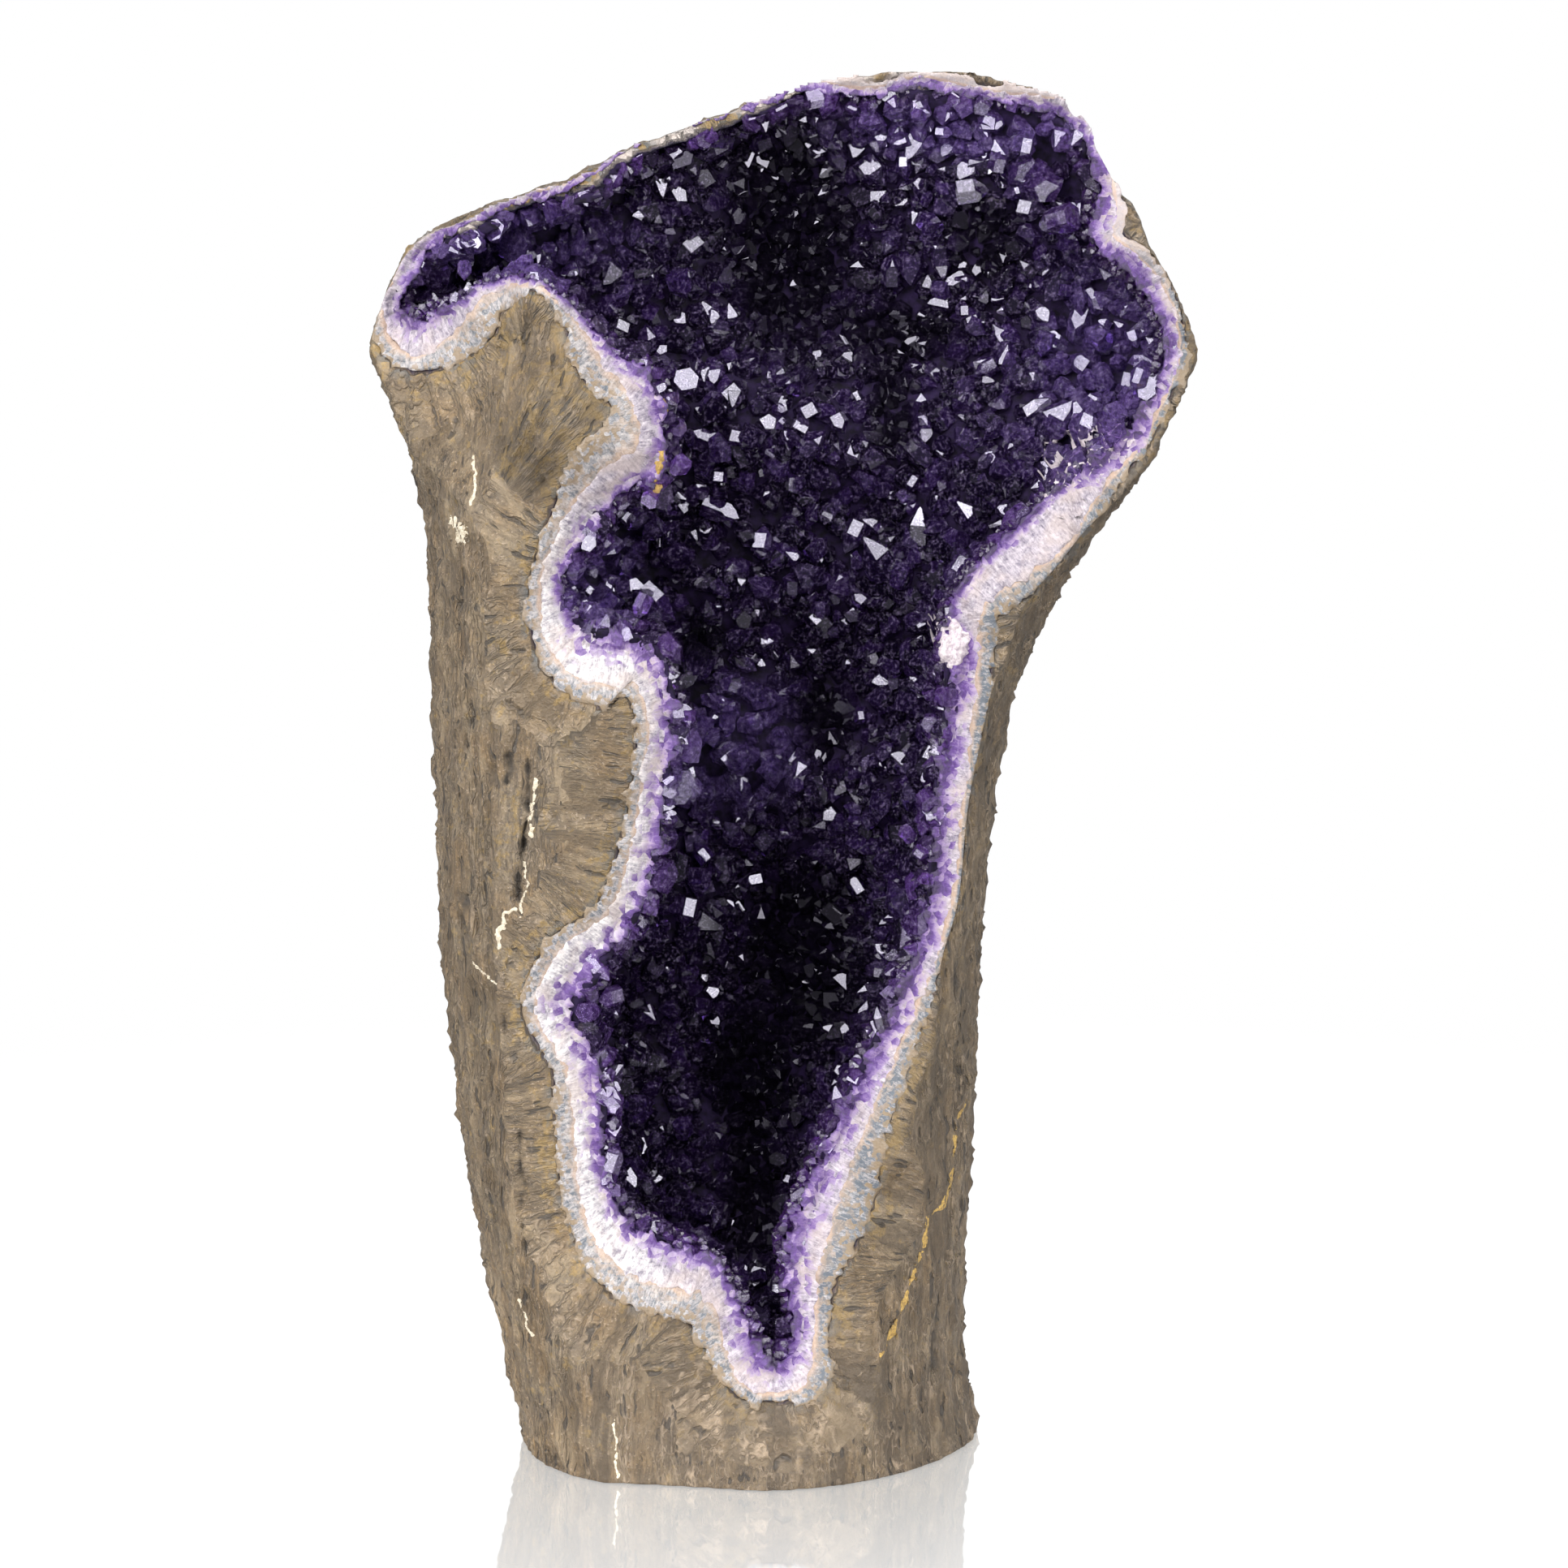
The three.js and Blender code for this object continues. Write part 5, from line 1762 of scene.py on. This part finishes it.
def grown_quartz(tree):
    """The colour of quartz from its white roots to its violet points, and a height for the bump."""
    place = add_node(tree, "TexCoord", out="Object")
    run, edge, inward, across = (
        add_node(tree, "Attribute", out="Fac", attribute_name=name)
        for name in ("run", "edge", "inward", "across")
    )
    from_middle = add_node(tree, "SeparateXYZ", {0: place}, out="X")
    height_up = add_node(tree, "SeparateXYZ", {0: place}, out="Z")
    flow = add_node(tree, "CombineXYZ", {0: run, 1: edge})
    thin = add_node(tree, "Mapping", {"Vector": flow, "Scale": THREADS})
    thread = add_node(tree, "TexNoise", {"Vector": thin, "Scale": 1.0, "Detail": 5.0, "Roughness": 0.75})
    thick = add_node(tree, "Mapping", {"Vector": flow, "Scale": CLUMPS})
    clump = add_node(tree, "TexNoise", {"Vector": thick, "Scale": 1.0, "Detail": 2.0})
    mottle = add_node(
        tree, "TexNoise", {"Vector": place, "Scale": per_metre(1.7), "Detail": 4.0, "Roughness": 0.7}
    )
    drift = add_node(tree, "TexNoise", {"Vector": place, "Scale": per_metre(14), "Detail": 2.0})
    blotch = add_node(tree, "TexNoise", {"Vector": place, "Scale": per_metre(4.5), "Detail": 3.0})
    prism = add_node(tree, "TexVoronoi", {"Vector": place, "Scale": per_metre(3.8)}, out="Color")
    prism = add_node(tree, "SeparateXYZ", {0: prism}, out="X")

    # Painted light: the lower left of the band gets less light from the lamps, so it is painted whiter.
    left = add_node(tree, "MapRange", {0: from_middle, 1: -40 * MM, 2: -75 * MM})
    low = add_node(tree, "MapRange", {0: height_up, 1: 460 * MM, 2: 425 * MM})
    lower_left_light = add_node(tree, "Math", {0: left, 1: low}, operation="MULTIPLY")
    white = lay_colours(tree, colour("#e3d8df"), [(lower_left_light, 0.0, 1.0, 1.0, "#fcf6f3")])
    tone = mottle
    for source, weight in ((thread, 1.7), (blotch, 0.8)):
        tone = add_node(tree, "Math", {0: source, 1: weight, 2: tone}, operation="MULTIPLY_ADD")
    tone = add_node(tree, "MapRange", {0: tone, 1: 1.4, 2: 2.1})
    tone = add_node(tree, "Math", {0: lower_left_light, 1: 0.12, 2: tone}, operation="MULTIPLY_ADD")
    colours = add_node(tree, "Mix", {0: tone, 6: colour("#665a72"), 7: white}, out=2, data_type="RGBA")
    stain = add_node(tree, "Math", {0: mottle, 1: 0.8, 2: across}, operation="MULTIPLY_ADD")
    right = add_node(tree, "MapRange", {0: from_middle, 1: 10 * MM, 2: 60 * MM, 4: 0.3})
    turn = inward
    for source, weight in ((thread, 1.1), (prism, 0.9), (clump, 1.1), (mottle, 0.8), (right, 1.0)):
        turn = add_node(tree, "Math", {0: source, 1: weight, 2: turn}, operation="MULTIPLY_ADD")
    colours = lay_colours(tree, colours, [
        (mottle, 0.40, 0.32, 0.6, "#77707f"),
        (drift, 0.46, 0.62, 0.5, "#cdbab2"),
        (stain, 1.40, 1.70, 0.3, "#c4a892"),
        (turn, 1.60, 2.05, 0.9, "#a085b6"),
        (turn, 1.95, 2.35, 1.0, "#5f3889"),
        (turn, 2.35, 2.95, 0.9, "#2b173f"),
    ])
    height = add_node(tree, "Math", {0: thread, 1: 1.0, 2: mottle}, operation="MULTIPLY_ADD")
    return colours, height


print("a thread is %.1f mm wide and %.1f mm long" % (1 / THREADS[0], 1 / THREADS[1]))

# %% Sawn white quartz
milky, tree, ends = new_material("sawn white quartz")
tinted, height = grown_quartz(tree)
bump = add_node(tree, "Bump", {"Height": height, "Distance": 1.2 * MM, "Strength": 1.0})
shader = add_node(
    tree, "BsdfPrincipled", {"Base Color": tinted, "Roughness": 0.4, "IOR": 1.544, "Normal": bump}
)
tree.links.new(shader, ends["Surface"])
quartz_rim.data.materials.append(milky)
print("quartz nodes:", len(tree.nodes))

# %% [markdown]
# Amethyst, as grown. The faces are natural and as flat as glass, so each one is a small mirror: it
# shows either a lamp or the dark. Light that enters is absorbed, least in violet. Transmission, index of
# refraction and absorption are set as plain values on the shader. A share of the light is scattered
# by flaws, which gives the crystals a body colour. That colour is painted nearly black in the pockets as
# painted shade, brighter violet towards the rim as painted light, and paler on a few walls, partly as
# painted light. Its light flaw patches are partly cloudy flaws and partly painted inner reflections.

# %% Amethyst crystals
amethyst, tree, ends = new_material("amethyst crystal")
shade, behind, painted_pocket_shade, pale = (
    add_node(tree, "Attribute", out="Fac", attribute_name=name)
    for name in ("shade", "behind", "painted_pocket_shade", "pale")
)
place = add_node(tree, "TexCoord", out="Object")
flaw_and_inner_glint = add_node(tree, "TexNoise", {"Vector": place, "Scale": per_metre(2.2), "Detail": 5.0, "Roughness": 0.8})
# Painted light: crystals close to the rim are painted brighter violet, as if lit through.
painted_rim_light = add_node(tree, "MapRange", {0: behind, 1: 26.0, 2: 2.0, 4: 0.8})
painted_rim_light = add_node(tree, "Math", {0: painted_rim_light, 1: shade}, operation="MULTIPLY")
body = lay_colours(tree, colour("#1c112e"), [
    (shade, 0.3, 1.0, 1.0, "#4a3170"),
    (painted_rim_light, 0.0, 1.0, 1.0, "#8a5ebb"),
    # pale walls: partly the crystals' own lighter violet, partly painted light on walls that catch more light
    (pale, 0.0, 1.0, 0.7, "#7259a0"),
    (flaw_and_inner_glint, 0.50, 0.38, 0.8, "#170e28"),
    # light flaw patches: partly cloudy flaws, partly painted inner reflections
    (flaw_and_inner_glint, 0.52, 0.66, 0.85, "#b7a3d3"),
    # painted shade: crystals in the pockets are painted nearly black
    (painted_pocket_shade, 0.0, 1.0, 0.9, "#15111d"),
])
shader = add_node(
    tree, "BsdfPrincipled",
    {
        "Base Color": body,
        "Roughness": 0.04,
        "IOR": 1.55,
        "Transmission Weight": 0.65,
        "Specular Tint": colour("#eeeafa"),
    },
)
absorb = add_node(tree, "VolumeAbsorption", {"Color": colour("#8457b8"), "Density": 110.0})
tree.links.new(shader, ends["Surface"])
tree.links.new(absorb, ends["Volume"])
for piece in amethyst_pieces[:-1]:
    piece.data.materials.append(amethyst)
print("amethyst nodes:", len(tree.nodes))

# %% [markdown]
# The crystals of the rim lie almost flat, so we see them from the side: white threads at the root,
# lavender, then violet towards the tip, with cloudy flaws a millimetre or two across.

# %% Amethyst along the rim
rim_amethyst, tree, ends = new_material("pale amethyst")
tinted, height = grown_quartz(tree)
bump = add_node(tree, "Bump", {"Height": height, "Distance": 0.5 * MM, "Strength": 0.7})
shader = add_node(
    tree, "BsdfPrincipled",
    {"Base Color": tinted, "Roughness": 0.14, "IOR": 1.55, "Transmission Weight": 0.35, "Normal": bump},
)
absorb = add_node(tree, "VolumeAbsorption", {"Color": colour("#a47be0"), "Density": 40.0})
tree.links.new(shader, ends["Surface"])
tree.links.new(absorb, ends["Volume"])
amethyst_pieces[-1].data.materials.append(rim_amethyst)
print("rim nodes:", len(tree.nodes))

# %% [markdown]
# Massive quartz, the ground between the crystals. It is grown together without faces, and it shows only
# as a dark gap here and there, so it is painted a rough, nearly black violet, as painted shade in the gaps.

# %% Massive quartz of the bed
massive, tree, ends = new_material("massive violet quartz")
place = add_node(tree, "TexCoord", out="Object")
mottle = add_node(tree, "TexNoise", {"Vector": place, "Scale": per_metre(4), "Detail": 4.0})
# Painted shade: the bed is painted nearly black, so the gaps between crystals look dark.
body = lay_colours(tree, colour("#0d0716"), [(mottle, 0.35, 0.65, 1.0, "#241739")])
shader = add_node(tree, "BsdfPrincipled", {"Base Color": body, "Roughness": 0.8, "Specular IOR Level": 0.1})
tree.links.new(shader, ends["Surface"])
bed.data.materials.append(massive)
print("bed nodes:", len(tree.nodes))

# %% [markdown]
# Calcite, cream, as a late filling and crust. It is soft and sugary, so it looks matt. Ochre clay
# is dry and powdery, yellow from hydrated iron oxide.

# %% Cream calcite and ochre clay
for name, low, high, roughness, pieces in (
    ("cream calcite", "#a8987f", "#ded3bc", 0.55, (cream_veins,)),
    ("pale calcite", "#a594a0", "#dfd5d6", 0.5, (calcite_crust,)),
    ("ochre clay", "#86693a", "#c3a052", 0.9, (ochre_vein, clay_specks)),
):
    late_mineral, tree, ends = new_material(name)
    place = add_node(tree, "TexCoord", out="Object")
    sugar = add_node(
        tree, "TexNoise", {"Vector": place, "Scale": per_metre(1.4), "Detail": 4.0, "Roughness": 0.7}
    )
    mixed = lay_colours(tree, colour(low), [(sugar, 0.36, 0.6, 1.0, high)])
    bump = add_node(tree, "Bump", {"Height": sugar, "Distance": 0.6 * MM, "Strength": 1.0})
    shader = add_node(
        tree, "BsdfPrincipled", {"Base Color": mixed, "Roughness": roughness, "IOR": 1.5, "Normal": bump}
    )
    tree.links.new(shader, ends["Surface"])
    for piece in pieces:
        piece.data.materials.append(late_mineral)
print("late minerals done")

# %% [markdown]
# The pieces and the frame
#
# Each visible piece is attached to the body it moves with, and the solid that it stands for is hidden.
# Nothing on a geode moves, so there is one body.

# %% Tie the pieces to the frame
def tie(piece, node):
    """Let a piece ride on the only body, and hide the solid that it stands for."""
    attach(piece, "root")
    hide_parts(node)


tie(husk, "basalt_husk")
tie(band, "chalcedony_band")
for piece in (quartz_rim, bed, *amethyst_pieces):
    tie(piece, "amethyst_crust")
tie(cream_veins, "basalt_husk")
tie(ochre_vein, "basalt_husk")
tie(calcite_crust, "amethyst_crust")
tie(clay_specks, "amethyst_crust")
print("pieces tied:", 8 + len(amethyst_pieces))

# %% [markdown]
# Camera, floor and light
#
# The camera stands 2.7 m away, a little above the stone, with a long lens, so that the stone looks as
# it does from some steps away. The floor is a pale polished disc that fades out into the white
# backdrop. It glows a little, so that it stays pale, and mirrors the foot of the stone faintly. Soft
# boxes in front light the rock and put a small bright patch into only those crystal faces that happen
# to point at them. White cards, kept off the rock, do the same for other faces. Large dim panels at the
# sides show as grey faces. Elsewhere the faces mirror the darker room, which is why the hollow looks
# deep. One dim box behind keeps the back from going black.

# %% Camera
CAMERA_DISTANCE = 2.7
CAMERA_ELEVATION = math.radians(9)
CAMERA_AIM_HEIGHT = 0.31003
LENS_MM = 132.32
SENSOR_MM = 36

camera_data = bpy.data.cameras.new("camera")
camera_data.lens = LENS_MM
camera_data.sensor_width = SENSOR_MM
camera = bpy.data.objects.new("camera", camera_data)
camera.location = (
    0,
    -CAMERA_DISTANCE * math.cos(CAMERA_ELEVATION),
    CAMERA_AIM_HEIGHT + CAMERA_DISTANCE * math.sin(CAMERA_ELEVATION),
)
camera.rotation_euler = (math.pi / 2 - CAMERA_ELEVATION, 0, 0)
bpy.context.scene.collection.objects.link(camera)
bpy.context.scene.camera = camera
print("camera at", [round(c, 2) for c in camera.location])

# %% Floor
FLOOR_RADIUS = 1.2
floor_mesh = bpy.data.meshes.new("floor")
shape = bmesh.new()
bmesh.ops.create_circle(shape, cap_ends=True, segments=96, radius=FLOOR_RADIUS)
shape.to_mesh(floor_mesh)
shape.free()
floor = bpy.data.objects.new("floor", floor_mesh)
bpy.context.scene.collection.objects.link(floor)
pale_floor, tree, ends = new_material("pale floor")
place = add_node(tree, "TexCoord", out="Object")
radius = add_node(tree, "VectorMath", {0: place}, out="Value", operation="LENGTH")
far = add_node(tree, "MapRange", {0: radius, 1: 0.3, 2: 1.0})
shader = add_node(
    tree, "BsdfPrincipled",
    {
        "Base Color": colour("#666666"),
        "Roughness": 0.5,
        "IOR": 1.45,
        "Emission Color": (1, 1, 1, 1),
        "Emission Strength": 0.9,
    },
)
mirror = add_node(tree, "BsdfGlossy", {"Color": (1, 1, 1, 1), "Roughness": 0.04})
polish = add_node(tree, "MapRange", {0: radius, 1: 0.12, 2: 0.4, 3: 0.55, 4: 0.25})
shader = add_node(tree, "MixShader", {0: polish, 1: shader, 2: mirror})
clear = add_node(tree, "BsdfTransparent")
mixed = add_node(tree, "MixShader", {0: far, 1: shader, 2: clear})
tree.links.new(mixed, ends["Surface"])
floor_mesh.materials.append(pale_floor)
print("floor radius:", FLOOR_RADIUS)

# %% Light
ROOM_BRIGHTNESS = 0.28
bpy.context.scene.view_settings.view_transform = "Standard"
world = bpy.data.worlds.new("studio")
bpy.context.scene.world = world
world.use_nodes = True
tree = world.node_tree
tree.nodes.clear()
way = add_node(tree, "TexCoord", out="Generated")
way = add_node(tree, "SeparateXYZ", {0: way}, out="Y")
behind_stone = add_node(tree, "MapRange", {0: way, 1: 0.75, 2: 0.9, 3: ROOM_BRIGHTNESS, 4: 1.0})
seen = add_node(tree, "LightPath", out="Is Camera Ray")
strength = add_node(tree, "Math", {0: seen, 1: behind_stone}, operation="MAXIMUM")
backdrop = add_node(tree, "Background", {"Color": (1, 1, 1, 1), "Strength": strength})
tree.links.new(backdrop, tree.nodes.new("ShaderNodeOutputWorld").inputs["Surface"])

# Each soft box: name, place in metres, width and height in metres, radiance, and whether it only shows
# as a reflection
SOFT_BOXES = [
    ("soft box left", (-1.5, -2.0, 1.7), 1.1, 1.1, 12.5, False),
    ("soft box over the camera", (-0.25, -2.5, 1.5), 0.8, 0.5, 14.0, False),
    ("soft box front right", (0.9, -2.5, 0.5), 0.7, 0.7, 3.0, False),
    ("soft box right", (1.9, -1.7, 1.3), 0.75, 0.75, 9.0, False),
    ("soft box top", (0.1, -0.8, 2.2), 1.1, 0.6, 10.5, False),
    ("soft box low left", (-1.9, -1.5, 0.35), 0.5, 0.5, 12.0, False),
    ("soft box behind", (0.6, 2.4, 1.6), 1.6, 1.2, 5.0, False),
    ("grey panel left", (-2.1, -1.0, 0.9), 1.2, 1.4, 2.2, False),
    ("grey panel right", (2.1, -1.1, 0.8), 1.2, 1.4, 2.0, False),
    ("card high left", (-1.0, -1.6, 2.4), 1.3, 1.0, 14.0, True),
    ("card high right", (1.3, -1.8, 2.1), 1.2, 1.0, 16.0, True),
    ("card low right", (1.9, -2.0, 0.3), 1.0, 1.0, 14.0, True),
    ("card low left", (-2.2, -1.3, 0.2), 0.9, 0.9, 14.0, True),
    ("card left", (-2.4, -0.9, 1.3), 1.1, 1.3, 14.0, True),
    ("card right", (2.4, -0.9, 1.3), 1.1, 1.3, 12.0, True),
]
LIGHT_AIM = Vector((0, 0, 0.33))
for name, spot, width, tall, radiance, only_mirrored in SOFT_BOXES:
    data = bpy.data.lights.new(name, "AREA")
    data.shape = "RECTANGLE"
    data.size = width
    data.size_y = tall
    data.energy = radiance * math.pi * width * tall
    lamp = bpy.data.objects.new(name, data)
    lamp.location = spot
    lamp.visible_diffuse = not only_mirrored
    lamp.rotation_euler = (LIGHT_AIM - Vector(spot)).to_track_quat("-Z", "Y").to_euler()
    bpy.context.scene.collection.objects.link(lamp)
print("soft boxes:", len(SOFT_BOXES))
